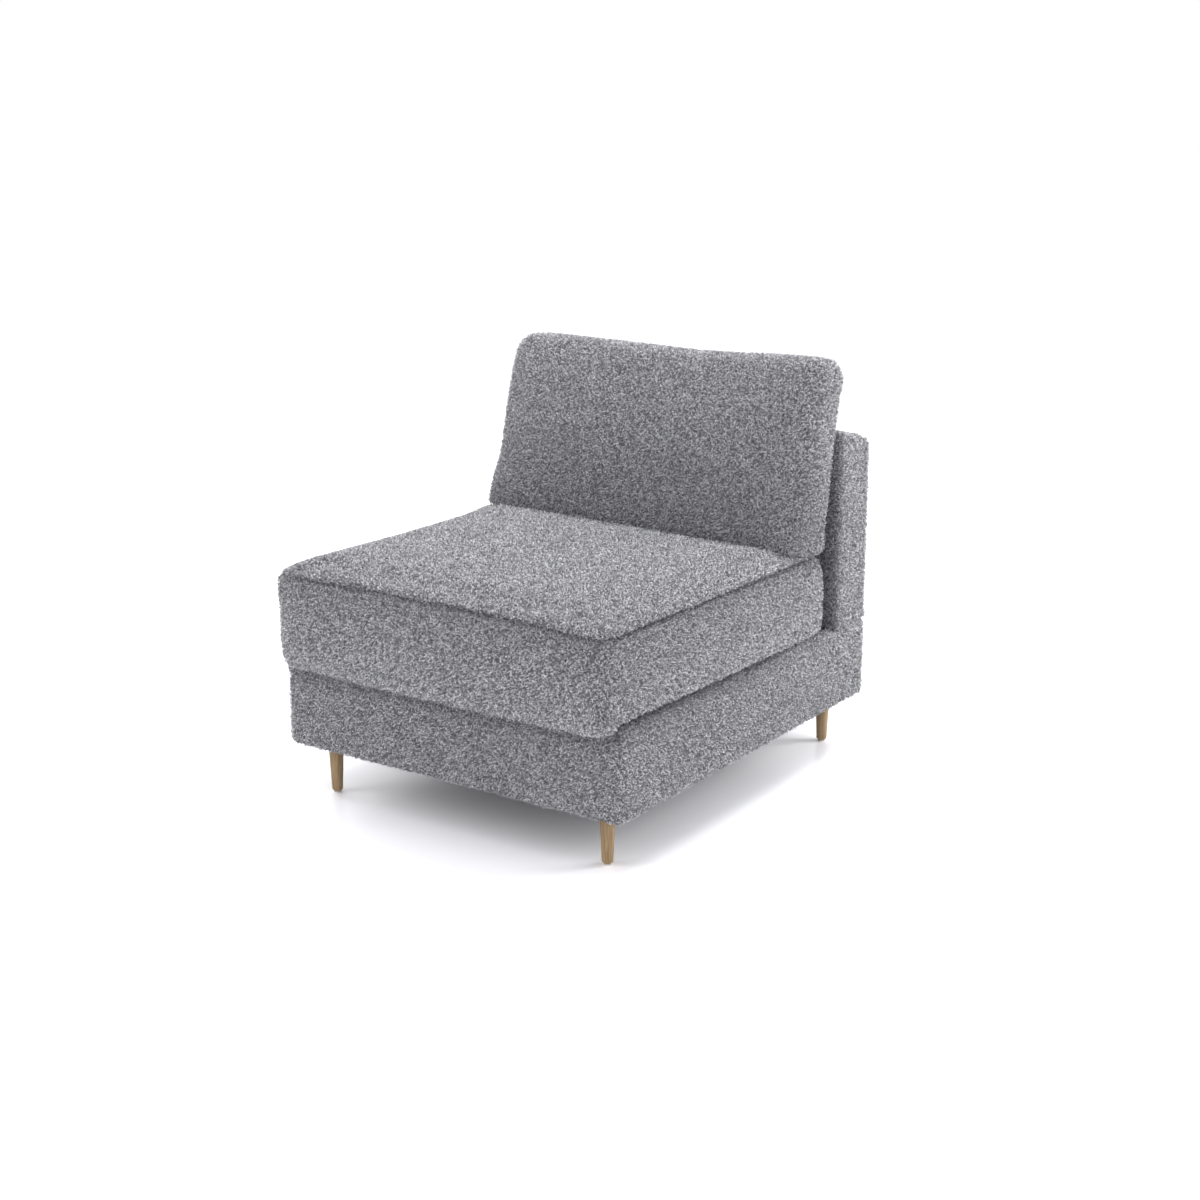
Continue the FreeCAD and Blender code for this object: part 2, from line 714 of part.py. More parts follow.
def make_webbing():
    bands = []
    count = int(dim("web_count").value)
    half = dim("web_width") / 2
    end = dim("web_end")
    for index in range(count):
        x = dim("web_spacing") * (index - (count - 1) / 2)
        bands.append(box(f"web_{index + 1}", (x - half, back_front + wood_inset, back_bottom + end),
                         (x + half, back_frame_front, back_top_at(back_frame_front, wood_inset) - end)))
    keep(group("web_group", bands), "back_webbing")


def make_back_bolts():
    bolts = []
    washers = []
    nuts = []
    diameter = dim("back_bolt_diameter")
    washer_foot = back_bottom + board
    head_foot = washer_foot + dim("washer_thickness")
    nut_foot = sill_bottom - dim("nut_height")
    low = nut_foot - dim("back_bolt_end")
    for count, x in enumerate(back_bolt_places(), start=1):
        shank = cylinder(f"bolt_{count}_shank", (x, back_bolt_y, low), diameter, head_foot - low)
        head = cylinder(f"bolt_{count}_head", (x, back_bolt_y, head_foot), dim("back_bolt_head_diameter"),
                        dim("back_bolt_head"))
        bolts.append(join(f"bolt_{count}", [shank, head]))
        disc = cylinder(f"washer_{count}_disc", (x, back_bolt_y, washer_foot), dim("washer_diameter"),
                        dim("washer_thickness"))
        hole = cylinder(f"washer_{count}_hole", (x, back_bolt_y, washer_foot - 1),
                        diameter + dim("bolt_play"), dim("washer_thickness") + 2)
        washers.append(cut(f"washer_{count}", disc, [hole]))
        hexagon = doc.addObject("Part::Prism", f"nut_{count}_hexagon")
        hexagon.Polygon = 6
        bind(hexagon, "Circumradius", dim("nut_across") / 2)
        bind(hexagon, "Height", dim("nut_height"))
        for axis, start in zip("xyz", (x, back_bolt_y, nut_foot)):
            bind(hexagon, f"Placement.Base.{axis}", start)
        thread = cylinder(f"nut_{count}_thread", (x, back_bolt_y, nut_foot - 1), diameter,
                          dim("nut_height") + 2)
        nuts.append(cut(f"nut_{count}", hexagon, [thread]))
    keep(group("back_bolt_group", bolts), "back_bolts")
    keep(group("washer_group", washers), "back_washers")
    keep(group("nut_group", nuts), "back_nuts")


# Soft forms: stacks of bowed, round-cornered outlines


def bowed_outline(half_across, half_up, bow_across, bow_up, corner, centre, height):
    """Four bowed sides and four corners, every arc running smoothly into the next.

    bow_across is the bow of the sides at either end, bow_up that of the long top and bottom."""
    end_radius = (half_up ** 2 + bow_across ** 2) / (2 * bow_across)
    long_radius = (half_across ** 2 + bow_up ** 2) / (2 * bow_up)
    end_x = half_across - end_radius
    long_y = half_up - long_radius
    spread = math.hypot(end_x, long_y)
    from_end = end_radius - corner
    from_long = long_radius - corner
    along = (from_end ** 2 - from_long ** 2 + spread ** 2) / (2 * spread)
    aside = math.sqrt(from_end ** 2 - along ** 2)
    ahead = Vector(-end_x, long_y, 0) / spread
    square = Vector(-ahead.y, ahead.x, 0)
    corner_centre = Vector(end_x, 0, 0) + ahead * along
    if (corner_centre + square * aside).x > (corner_centre - square * aside).x:
        corner_centre = corner_centre + square * aside
    else:
        corner_centre = corner_centre - square * aside
    outward = (corner_centre - Vector(end_x, 0, 0)).normalize()
    upward = (corner_centre - Vector(0, long_y, 0)).normalize()
    meet_end = Vector(end_x, 0, 0) + outward * end_radius
    meet_long = Vector(0, long_y, 0) + upward * long_radius
    tip = corner_centre + (outward + upward).normalize() * corner

    def at(point, hand_x, hand_y):
        return Vector(centre[0] + point.x * hand_x, centre[1] + point.y * hand_y, height)

    arcs = []
    arcs.append(Part.Arc(at(meet_end, 1, -1), at(Vector(half_across, 0, 0), 1, 1), at(meet_end, 1, 1)))
    arcs.append(Part.Arc(at(meet_end, 1, 1), at(tip, 1, 1), at(meet_long, 1, 1)))
    arcs.append(Part.Arc(at(meet_long, 1, 1), at(Vector(0, half_up, 0), 1, 1), at(meet_long, -1, 1)))
    arcs.append(Part.Arc(at(meet_long, -1, 1), at(tip, -1, 1), at(meet_end, -1, 1)))
    arcs.append(Part.Arc(at(meet_end, -1, 1), at(Vector(half_across, 0, 0), -1, 1), at(meet_end, -1, -1)))
    arcs.append(Part.Arc(at(meet_end, -1, -1), at(tip, -1, -1), at(meet_long, -1, -1)))
    arcs.append(Part.Arc(at(meet_long, -1, -1), at(Vector(0, half_up, 0), 1, -1), at(meet_long, 1, -1)))
    arcs.append(Part.Arc(at(meet_long, 1, -1), at(tip, 1, -1), at(meet_end, 1, -1)))
    return Part.Wire([arc.toShape() for arc in arcs])


def offset_profile(profile, inset):
    """Move a profile of (draw, height) points square to itself, towards the inside."""
    moved = []
    for index, (draw, height) in enumerate(profile):
        before = profile[max(index - 1, 0)]
        after = profile[min(index + 1, len(profile) - 1)]
        run = Vector(after[0] - before[0], after[1] - before[1], 0).normalize()
        moved.append((draw + inset * run.y, height - inset * run.x))
    return moved


FAR = 3000.0
CORNER_GROWTH = 0.35


def half_space(height, below):
    """Large block above or below a height."""
    foot = height - FAR if below else height
    return Part.makeBox(2 * FAR, 2 * FAR, FAR, Vector(-FAR, -FAR, foot))


deck_angle = math.degrees(math.atan(deck_slope.value))
lean = math.radians(dim("back_lean").value)
seat_place = Placement(Vector(0, base_front.value, deck_front.value + gap.value),
                       Rotation(Vector(1, 0, 0), -deck_angle))


def pillow_origin():
    """Foot of the back cushion's front face: on the seat, with its rear against the back frame's top edge."""
    radius = dim("back_edge_radius").value
    touch_y = back_front.value + radius
    touch_z = back_top_at(back_front + radius, as_size(radius)).value
    across = dim("pillow_thickness").value + gap.value + radius
    seat_line = deck_at(as_size(0)).value + dim("seat_under_back").value
    reach = touch_y * math.cos(lean) + (seat_line - touch_z) * math.sin(lean) - across
    y = reach / (math.cos(lean) + deck_slope.value * math.sin(lean))
    return Vector(0, y, seat_line - deck_slope.value * y)


pillow_place = Placement(pillow_origin(), Rotation(Vector(1, 0, 0), -dim("back_lean").value))


def loft(profile, half_across, half_up, bow_across, bow_up, corner, centre):
    """Solid through one bowed outline for each (draw, height) of the profile."""
    rings = []
    for draw, height in profile:
        rounding = (corner + draw * CORNER_GROWTH) * (half_up - draw) / half_up
        rings.append(bowed_outline(half_across - draw, half_up - draw, bow_across, bow_up,
                                   rounding, centre, height))
    return Part.makeLoft(rings, True, True)


# Profiles of the cushions: distance drawn in from the fullest line, in millimetres, and height as a
# share of the size that each stretch belongs to
SEAT_SIDES = ((26, -1.0), (15, -0.62), (7, 0.0), (2.5, 0.25), (0, 1.0), (5, 1.55), (12.5, 1.82))
SEAT_CROWN = ((-5, 0.19), (-1, 0.46), (14, 0.69), (46, 0.85), (112, 0.95), (215, 1.0))
PILLOW_FRONT = ((150, -1.0), (92, -0.72), (44, -0.3), (20, 0.1), (6, 0.65), (0, 1.7))
PILLOW_REAR = ((0, 1.5), (5, 0.7), (14, 0.22), (30, 0.0))


def seat_form(inset):
    """Seat cushion, or what lies inside it by an inset, in the tilted frame of the deck."""
    half_across = seat_half_width.value
    half_up = seat_depth.value / 2
    belly = dim("seat_belly").value
    lip = dim("seat_lip").value
    seam = dim("seat_boxing").value
    seam_draw = dim("seat_seam_draw").value
    crown = dim("seat_crown").value
    overhang = dim("seat_overhang").value
    centre = (0, half_up - overhang - belly * math.tan(math.radians(deck_angle)))
    sides = [(draw, level * (lip if level < 0 else belly)) for draw, level in SEAT_SIDES]
    sides = offset_profile(sides + [(seam_draw, seam)], inset)
    top = [(seam_draw + draw, seam + level * crown) for draw, level in SEAT_CROWN]
    top = offset_profile([(seam_draw, seam)] + top, inset)
    top[0] = sides[-1] = (seam_draw + inset, seam)
    bows = (dim("seat_side_bow").value, dim("seat_front_bow").value)
    corner = dim("seat_corner_radius").value
    boxing = loft(sides, half_across, half_up, *bows, corner, centre)
    puff = loft(top, half_across, half_up, *bows, corner, centre)
    form = boxing.fuse(puff)
    deck = Part.makeBox(2 * FAR, FAR, FAR + inset, Vector(-FAR, -gap.value - inset, -FAR))
    form = form.cut(deck)
    form.Placement = seat_place.multiply(form.Placement)
    under_back = half_space(-inset, False)
    under_back.Placement = pillow_place.multiply(under_back.Placement)
    return form.cut(under_back)


def pillow_form(inset):
    """Back cushion, or what lies inside it by an inset, in its own leaning frame."""
    half_across = pillow_half_width.value
    press = dim("pillow_press").value
    half_up = (dim("pillow_height").value + press) / 2
    thickness = dim("pillow_thickness").value
    crown = dim("pillow_crown").value
    profile = [(draw, level * crown) for draw, level in PILLOW_FRONT]
    profile += [(draw, thickness - level * crown) for draw, level in PILLOW_REAR]
    profile = offset_profile(profile, inset)
    bows = (dim("pillow_side_bow").value, dim("pillow_top_bow").value)
    form = loft(profile, half_across, half_up, *bows, dim("pillow_corner_radius").value, (0, 0))
    upright = Placement(Vector(0, 0, half_up - press), Rotation(Vector(1, 0, 0), 90))
    mirror = Placement(Vector(), Rotation(Vector(0, 1, 0), 180))
    form.Placement = upright.multiply(mirror)
    form = form.cut(half_space(gap.value + inset, True))
    form.Placement = pillow_place.multiply(form.Placement)
    return form


def solid_piece(name, label, shape):
    piece = doc.addObject("Part::Feature", name)
    piece.Shape = shape
    keep(piece, label)


def placed(shape, place):
    shape.Placement = place.multiply(shape.Placement)
    return shape


class Zip:
    """Zip along X in a cushion's rear: tape inside the cover, teeth in a slit, slider over the teeth."""

    def __init__(self, face, height, place):
        self.face = face
        self.height = height
        self.place = place

    def block(self, length, low, high, width, middle=0.0):
        corner = Vector(middle - length / 2, self.face + low, self.height - width / 2)
        return Part.makeBox(length, high - low, width, corner)

    def tape(self):
        tape = self.block(dim("zip_length").value, -dim("zip_thickness").value, 0, dim("zip_width").value)
        teeth = self.block(dim("zip_length").value, 0, dim("teeth_height").value, dim("teeth_width").value)
        return placed(tape.fuse(teeth).removeSplitter(), self.place)

    def slit(self):
        """Room for the tape, the teeth and the slider's travel."""
        tape = self.block(dim("zip_length").value, -dim("zip_thickness").value, 0, dim("zip_width").value)
        slot = self.block(dim("zip_length").value, 0, FAR, dim("slit_width").value)
        return placed(tape.fuse(slot), self.place)

    def slider(self):
        middle = dim("zip_length").value / 2 - dim("slider_inset").value
        shell = self.block(dim("slider_length").value, gap.value, dim("slider_height").value,
                           dim("slider_width").value, middle)
        channel = self.block(2 * dim("slider_length").value, 0, dim("teeth_height").value + gap.value,
                             dim("teeth_width").value + 2 * gap.value, middle)
        return placed(shell.cut(channel), self.place)


def make_seat_cushion():
    skin = dim("cushion_skin").value
    belly_shift = dim("seat_belly").value * math.tan(math.radians(deck_angle))
    rear = seat_depth.value - dim("seat_overhang").value - belly_shift
    face = rear - dim("seat_front_bow").value - skin
    seat_zip = Zip(face, dim("seat_zip_height").value, seat_place)
    outside = seat_form(0)
    inside = seat_form(skin)
    inset = dim("core_inset").value
    core_corner = Vector(inset - seat_half_width.value,
                         inset - dim("seat_overhang").value - belly_shift, skin)
    core = Part.makeBox(2 * (seat_half_width.value - inset), seat_depth.value - 2 * inset,
                        dim("core_height").value, core_corner)
    core = placed(core.makeFillet(dim("core_rounding").value, core.Edges), seat_place)
    solid_piece("seat_cover_shell", "seat_cushion_cover", outside.cut(inside).cut(seat_zip.slit()))
    solid_piece("seat_wrap_shell", "seat_cushion_wrap", inside.cut(core).cut(seat_zip.slit()))
    solid_piece("seat_core_block", "seat_cushion_core", core)
    solid_piece("seat_tape", "seat_zip_tape", seat_zip.tape())
    solid_piece("seat_slider", "seat_zip_slider", seat_zip.slider())


def make_back_cushion():
    skin = dim("cushion_skin").value
    casing = dim("casing_thickness").value
    back_zip = Zip(dim("pillow_thickness").value - skin, dim("pillow_zip_height").value, pillow_place)
    outside = pillow_form(0)
    inside = pillow_form(skin)
    fill = pillow_form(skin + casing)
    slit = back_zip.slit()
    solid_piece("pillow_cover_shell", "back_cushion_cover", outside.cut(inside).cut(slit))
    solid_piece("pillow_casing_shell", "back_cushion_casing", inside.cut(fill).cut(slit))
    solid_piece("pillow_fill_body", "back_cushion_fill", fill.cut(slit))
    solid_piece("pillow_tape", "back_zip_tape", back_zip.tape())
    solid_piece("pillow_slider", "back_zip_slider", back_zip.slider())


make_base_cover()
make_base_padding()
make_boards(make_screws())
make_springs()
make_clips()
make_deck()
for leg_name, leg_x, leg_y, leg_hand, leg_toward in leg_places():
    make_leg(leg_name, leg_x, leg_y)
    make_corner_block(leg_name, leg_x, leg_y, leg_hand, leg_toward)
make_leg_hardware()
make_dust_cover()
make_back_cover()
make_back_padding()
make_back_frame()
make_webbing()
make_back_bolts()
make_seat_cushion()
make_back_cushion()
doc.recompute()

for item in doc.Objects:
    if "Invalid" in item.State or "Error" in item.State:
        raise RuntimeError(f"{item.Label} failed: {item.State}")
for item in subparts:
    if item.Shape.isNull() or not item.Shape.isValid() or not item.Shape.Solids:
        raise RuntimeError(f"{item.Label} has no valid shape")

os.makedirs("parts", exist_ok=True)
for item in subparts:
    item.Shape.exportStep(f"parts/{item.Label}.step")
whole = Part.makeCompound([item.Shape for item in subparts]).BoundBox
print(f"{len(subparts)} sub-parts, box {whole}")
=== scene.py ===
import math

import bpy
import numpy as np
from mathutils import Matrix, Vector
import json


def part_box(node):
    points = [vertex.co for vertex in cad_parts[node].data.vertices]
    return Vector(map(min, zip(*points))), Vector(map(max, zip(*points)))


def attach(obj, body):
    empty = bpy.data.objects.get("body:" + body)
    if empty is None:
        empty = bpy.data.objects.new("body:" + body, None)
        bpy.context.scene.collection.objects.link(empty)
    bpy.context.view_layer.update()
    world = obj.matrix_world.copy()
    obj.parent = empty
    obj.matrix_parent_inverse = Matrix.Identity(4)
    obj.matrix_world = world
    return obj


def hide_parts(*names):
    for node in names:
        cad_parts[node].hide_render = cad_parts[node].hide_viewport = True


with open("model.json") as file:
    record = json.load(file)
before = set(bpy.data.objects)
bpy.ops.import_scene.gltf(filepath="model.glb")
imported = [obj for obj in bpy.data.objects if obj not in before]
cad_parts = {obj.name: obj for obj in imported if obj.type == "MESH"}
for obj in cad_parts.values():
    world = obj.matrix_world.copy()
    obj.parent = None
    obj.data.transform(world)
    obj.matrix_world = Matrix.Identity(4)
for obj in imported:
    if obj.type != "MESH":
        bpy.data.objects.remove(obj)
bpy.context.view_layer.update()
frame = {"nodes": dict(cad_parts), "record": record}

# The armless sofa's looks: covers of nubby yarn, soft cushions, wood, floor and light.
# Metres throughout. -Y is the front, +Z is up and -X is the left side as seen from the front.

TINY = 1e-9
ON_EDGE = 1e-6

# Noise

NOISE_GAIN = 1.6
HASH_PRIMES = (73856093, 19349663, 83492791)
HASH_SEED = 7919
HASH_STIR = 1274126177
SLOPE_COUNT = 256
SLOPES = np.random.default_rng(7).normal(size=(SLOPE_COUNT, 3))
SLOPES = (SLOPES / np.linalg.norm(SLOPES, axis=1)[:, None]).astype(np.float32)


def noise(points, size, seed):
    """Smooth noise from -1 to 1 whose bumps are about size metres apart."""
    scaled = points / size
    cell = np.floor(scaled).astype(np.int32)
    part = (scaled - cell).astype(np.float32)
    ease = part * part * part * (part * (part * 6 - 15) + 10)
    total = np.zeros(len(points), np.float32)
    for corner in np.ndindex(2, 2, 2):
        mixed = np.zeros(len(points), np.int32)
        for axis, prime in enumerate(HASH_PRIMES):
            mixed ^= (cell[:, axis] + corner[axis]) * prime
        mixed += seed * HASH_SEED
        mixed ^= mixed >> 13
        mixed = mixed * HASH_STIR
        mixed ^= mixed >> 16
        slope = SLOPES[mixed & (SLOPE_COUNT - 1)]
        value = np.einsum("ij,ij->i", slope, part - np.array(corner, np.float32))
        for axis in range(3):
            value = value * (ease[:, axis] if corner[axis] else 1 - ease[:, axis])
        total += value
    return total * NOISE_GAIN


def smooth(low, high, value):
    """0 on low's side, 1 on high's side, smooth between them."""
    share = np.clip((value - low) / (high - low), 0, 1)
    return share * share * (3 - 2 * share)


def fade(low, high, value):
    """1 on low's side, 0 on high's side, smooth between them."""
    return 1 - smooth(low, high, value)


# Meshes on the surface of a box of cells

MOST_CELLS = 4096


def lattice_code(corners):
    """One whole number for each lattice corner. MOST_CELLS is more than a box has along any side."""
    return (corners[:, 0] * MOST_CELLS + corners[:, 1]) * MOST_CELLS + corners[:, 2]


def shell_grid(cells):
    """Corners (whole numbers), quads and UVs of the cells on the surface of a box of cells.

    Each side of the box is an island of its own in the UV map, with a cell's margin around it."""
    cells = np.array(cells)
    faces = []
    spots = []
    width = 2 * max(cells[0], cells[1]) + 6
    height = cells[1] + 2 * cells[2] + 8
    scale = 1.0 / max(width, height)
    foot = 1
    for normal, across, up in ((2, 0, 1), (1, 0, 2), (0, 1, 2)):
        for high in (0, 1):
            grid_a, grid_b = np.meshgrid(np.arange(cells[across]), np.arange(cells[up]), indexing="ij")
            grid_a = grid_a.ravel()
            grid_b = grid_b.ravel()
            corners = np.zeros((len(grid_a), 4, 3), np.int64)
            spot = np.zeros((len(grid_a), 4, 2))
            left = 1 + high * (cells[across] + 2)
            for index, (step_a, step_b) in enumerate(((0, 0), (1, 0), (1, 1), (0, 1))):
                corners[:, index, across] = grid_a + step_a
                corners[:, index, up] = grid_b + step_b
                corners[:, index, normal] = high * cells[normal]
                spot[:, index, 0] = (grid_a + step_a + left) * scale
                spot[:, index, 1] = (grid_b + step_b + foot) * scale
            faces_inward = bool(high) == (normal == 1)
            if faces_inward:
                corners = corners[:, ::-1]
                spot = spot[:, ::-1]
            faces.append(corners)
            spots.append(spot)
        foot += cells[up] + 2
    corners = np.concatenate(faces).reshape(-1, 3)
    spots = np.concatenate(spots).reshape(-1, 2)
    _, first, inverse = np.unique(lattice_code(corners), return_index=True, return_inverse=True)
    return corners[first], inverse.reshape(-1, 4), spots


def turned_over(quads, spots):
    """The same quads and UVs, facing the other way."""
    return quads[:, ::-1], spots.reshape(-1, 4, 2)[:, ::-1].reshape(-1, 2)


def make_mesh(name, points, quads, spots):
    """New piece of smooth quads. spots are the UVs of their corners."""
    mesh = bpy.data.meshes.new(name)
    mesh.vertices.add(len(points))
    mesh.vertices.foreach_set("co", np.asarray(points, np.float32).ravel())
    mesh.loops.add(quads.size)
    mesh.loops.foreach_set("vertex_index", quads.ravel().astype(np.int32))
    mesh.polygons.add(len(quads))
    mesh.polygons.foreach_set("loop_start", np.arange(0, quads.size, 4, dtype=np.int32))
    layer = mesh.uv_layers.new(name="OFBake")
    layer.data.foreach_set("uv", spots.astype(np.float32).ravel())
    mesh.update(calc_edges=True)
    mesh.validate()
    mesh.polygons.foreach_set("use_smooth", np.ones(len(quads), bool))
    piece = bpy.data.objects.new(name, mesh)
    bpy.context.scene.collection.objects.link(piece)
    return piece


def points_of(piece):
    points = np.zeros(len(piece.data.vertices) * 3, np.float32)
    piece.data.vertices.foreach_get("co", points)
    return points.reshape(-1, 3).astype(float)


def set_points(piece, points):
    piece.data.vertices.foreach_set("co", points.astype(np.float32).ravel())
    piece.data.update()


def normals_of(piece):
    normals = np.zeros(len(piece.data.vertices) * 3, np.float32)
    piece.data.vertex_normals.foreach_get("vector", normals)
    return normals.reshape(-1, 3).astype(float)


def quads_of(piece):
    quads = np.zeros(len(piece.data.loops), np.int32)
    piece.data.loops.foreach_get("vertex_index", quads)
    return quads.reshape(-1, 4)


def bake_modifiers(piece):
    """Replace the piece's mesh by what its modifiers make of it."""
    graph = bpy.context.evaluated_depsgraph_get()
    made = bpy.data.meshes.new_from_object(piece.evaluated_get(graph), depsgraph=graph)
    piece.modifiers.clear()
    old = piece.data
    piece.data = made
    bpy.data.meshes.remove(old)


# Outlines and profiles

PROFILE_ROUNDING = 0.0055
PROFILE_STEPS = 800


def bowed(across, along, half_a, half_b, corner, bow_a, bow_b):
    """Send a square loop, from -1 to 1 both ways, to a bowed rectangle with round corners."""
    x = across * half_a
    y = along * half_b
    inner_a = half_a - corner
    inner_b = half_b - corner
    over_x = np.abs(x) - inner_a
    over_y = np.abs(y) - inner_b
    turn = (over_x > 0) & (over_y > 0)
    length = np.hypot(over_x, over_y)
    reach = np.maximum(over_x, over_y)
    share = np.where(turn, reach / np.maximum(length, TINY), 1)
    new_x = np.where(turn, np.sign(x) * (inner_a + over_x * share), x)
    new_y = np.where(turn, np.sign(y) * (inner_b + over_y * share), y)
    drawn_x = new_x * (1 - bow_a / half_a * (new_y / half_b) ** 2)
    drawn_y = new_y * (1 - bow_b / half_b * (new_x / half_a) ** 2)
    return drawn_x, drawn_y


def along_profile(profile, share):
    """Point at a share of a profile's length, rounded through its points."""
    profile = np.array(profile, float)
    steps = np.hypot(*np.diff(profile, axis=0).T)
    marks = np.concatenate([[0], np.cumsum(steps)]) / steps.sum()
    fine = np.linspace(0, 1, PROFILE_STEPS + 1)
    coarse = np.stack([np.interp(fine, marks, profile[:, k]) for k in (0, 1)], 1)
    kernel = np.hanning(2 * int(PROFILE_ROUNDING / steps.sum() * PROFILE_STEPS) + 3)[1:-1]
    kernel /= kernel.sum()
    pad = len(kernel) // 2
    ends = np.pad(coarse, ((pad, pad), (0, 0)), mode="reflect", reflect_type="odd")
    rounded = np.stack([np.convolve(ends[:, k], kernel, mode="valid") for k in (0, 1)], 1)
    return np.stack([np.interp(share, fine, rounded[:, k]) for k in (0, 1)], -1)


# Boxed forms, each a stack of outlines with a panel at either end

LEAST_CORNER = 0.010
LEAST_SPAN = 1e-5


class Form:
    """Lattice over a boxed form. sides, high and low are profiles of (distance drawn in, height)."""

    def __init__(self, half_a, half_b, rise, sides, high, low, corner, bows=(0.0, 0.0), growth=0.35):
        self.half_a = half_a
        self.half_b = half_b
        self.rise = rise
        self.sides = sides
        self.high = high
        self.low = low
        self.corner = corner
        self.bows = bows
        self.growth = growth
        self.least = min(half_a, half_b)

    def cells(self, cell, factor):
        sizes = (2 * self.half_a, 2 * self.half_b, self.rise)
        return [factor * max(1, int(round(size / cell / factor))) for size in sizes]

    def place(self, lattice, cells):
        """Points of the form, with how far each lies from the edge of its panel (0 on the sides)."""
        unit = lattice / np.array(cells, float) * 2 - 1
        a = unit[:, 0] * self.half_a
        b = unit[:, 1] * self.half_b
        up = unit[:, 2]
        away = np.minimum(self.half_a - np.abs(a), self.half_b - np.abs(b))
        draw = np.zeros(len(unit))
        height = np.zeros(len(unit))
        for mask, profile in ((up >= 1, self.high), (up <= -1, self.low)):
            draw[mask], height[mask] = along_profile(profile, away[mask] / self.least).T
        side = np.abs(up) < 1
        away[side] = 0
        draw[side], height[side] = along_profile(self.sides, (up[side] + 1) / 2).T
        draw = np.minimum(draw, self.least - LEAST_SPAN)
        across = a / np.maximum(self.half_a - away, ON_EDGE)
        along = b / np.maximum(self.half_b - away, ON_EDGE)
        corner = np.maximum(self.corner + draw * self.growth, LEAST_CORNER)
        corner = np.minimum(corner * (self.half_b - draw) / self.half_b, self.least - draw)
        x, y = bowed(across, along, self.half_a - draw, self.half_b - draw, corner, *self.bows)
        return np.stack([x, y, height], 1), away


def between(coarse, cells, values, fine, factor):
    """Values given on a coarse lattice, read at the corners of a finer one."""
    code = lattice_code(coarse)
    order = np.argsort(code)
    code = code[order]
    cell = fine // factor
    part = fine / factor - cell
    total = np.zeros((len(fine), values.shape[1]))
    for step in np.ndindex(2, 2, 2):
        weight = np.prod(np.where(np.array(step) == 1, part, 1 - part), axis=1)
        wanted = lattice_code(np.minimum(cell + step, cells))
        found = np.clip(np.searchsorted(code, wanted), 0, len(code) - 1)
        total += np.where(weight[:, None] > 0, values[order[found]], 0) * weight[:, None]
    return total


# Cloth simulation

SWELL_FRAMES = 20


def swell(form, cell, factor, held, cap):
    """How far each fine corner of the form moves when cloth over it swells. held says where it is sewn."""
    cells = form.cells(cell, factor)
    fine = shell_grid(cells)[0]
    rough_cells = [count // factor for count in cells]
    rough, rough_quads, rough_spots = shell_grid(rough_cells)
    start, away = form.place(rough, rough_cells)
    piece = make_mesh("swelling", start, rough_quads, rough_spots)
    group = piece.vertex_groups.new(name="held")
    grip = np.round(held(start, away), 1)
    for level in np.unique(grip):
        group.add(np.nonzero(grip == level)[0].tolist(), float(level), "REPLACE")
    cloth = piece.modifiers.new("cloth", "CLOTH")
    settings = cloth.settings
    settings.quality = 5
    settings.mass = 0.3
    settings.tension_stiffness = 15
    settings.compression_stiffness = 15
    settings.shear_stiffness = 5
    settings.bending_stiffness = 2
    settings.use_pressure = True
    settings.uniform_pressure_force = 4.0
    settings.vertex_group_mass = "held"
    settings.effector_weights.gravity = 0
    cloth.collision_settings.use_collision = False
    cloth.collision_settings.use_self_collision = False
    scene = bpy.context.scene
    for number in range(1, SWELL_FRAMES + 1):
        scene.frame_set(number)
    bake_modifiers(piece)
    scene.frame_set(1)
    moved = points_of(piece) - start
    bpy.data.objects.remove(piece)
    reach = np.linalg.norm(moved, axis=1)
    moved *= (cap * np.tanh(reach / cap) / np.maximum(reach, TINY))[:, None]
    return between(rough, rough_cells, moved, fine, factor)


def swelled(form, cell, factor, held, cap):
    """A form after the simulation: cells, lattice, quads, UVs, points, distances from the panels' edges."""
    cells = form.cells(cell, factor)
    lattice, quads, spots = shell_grid(cells)
    points, away = form.place(lattice, cells)
    points += swell(form, cell, factor, held, cap)
    return cells, lattice, quads, spots, points, away


# Pile under the yarn

CURL_PITCH = 0.0072
SECOND_PITCH = 0.8
CURL_BEND = 0.0100
CURL_WANDER = 0.0040
CURL_CONTRAST = 2.4
TUFT_PITCH = 0.019
PILE_DEPTH = 0.0010
TUFT_DEPTH = 0.0004


def curls(points):
    """Height of the curly pile: 0 in its gaps, 1 on its curls."""
    bend = np.stack([noise(points, CURL_BEND, seed) for seed in (11, 12, 13)], 1) * CURL_WANDER
    first = 1 - np.abs(noise(points + bend, CURL_PITCH, 21)) * CURL_CONTRAST
    second = 1 - np.abs(noise(points - bend, CURL_PITCH * SECOND_PITCH, 22)) * CURL_CONTRAST
    return np.clip(np.maximum(first, second), 0, 1)


def add_pile(piece, strength, painted_shading):
    """Raise tufts as geometry, and keep their height for the fabric's colour, which paints light on the
    curls and shade in the gaps. The shading factor is painted light and shade: below 1 in creases and other
    shaded places, above 1 on lit edges.
    """
    points = points_of(piece)
    normals = normals_of(piece)
    height = curls(points)
    tufts = noise(points, TUFT_PITCH, 31)
    rise = (height - 0.5) * PILE_DEPTH + tufts * TUFT_DEPTH
    set_points(piece, points + normals * (rise * strength)[:, None])
    layer = piece.data.attributes.new("pile", "FLOAT", "POINT")
    # Stored value: the pile height (painted light on the curls, painted shade in the gaps) times the square
    # of the painted shade and light.
    shown = (height * strength + 0.5 * (1 - strength)) * painted_shading ** 2
    layer.data.foreach_set("value", shown.astype(np.float32))


# Loops of yarn. The density is in loops to a square metre

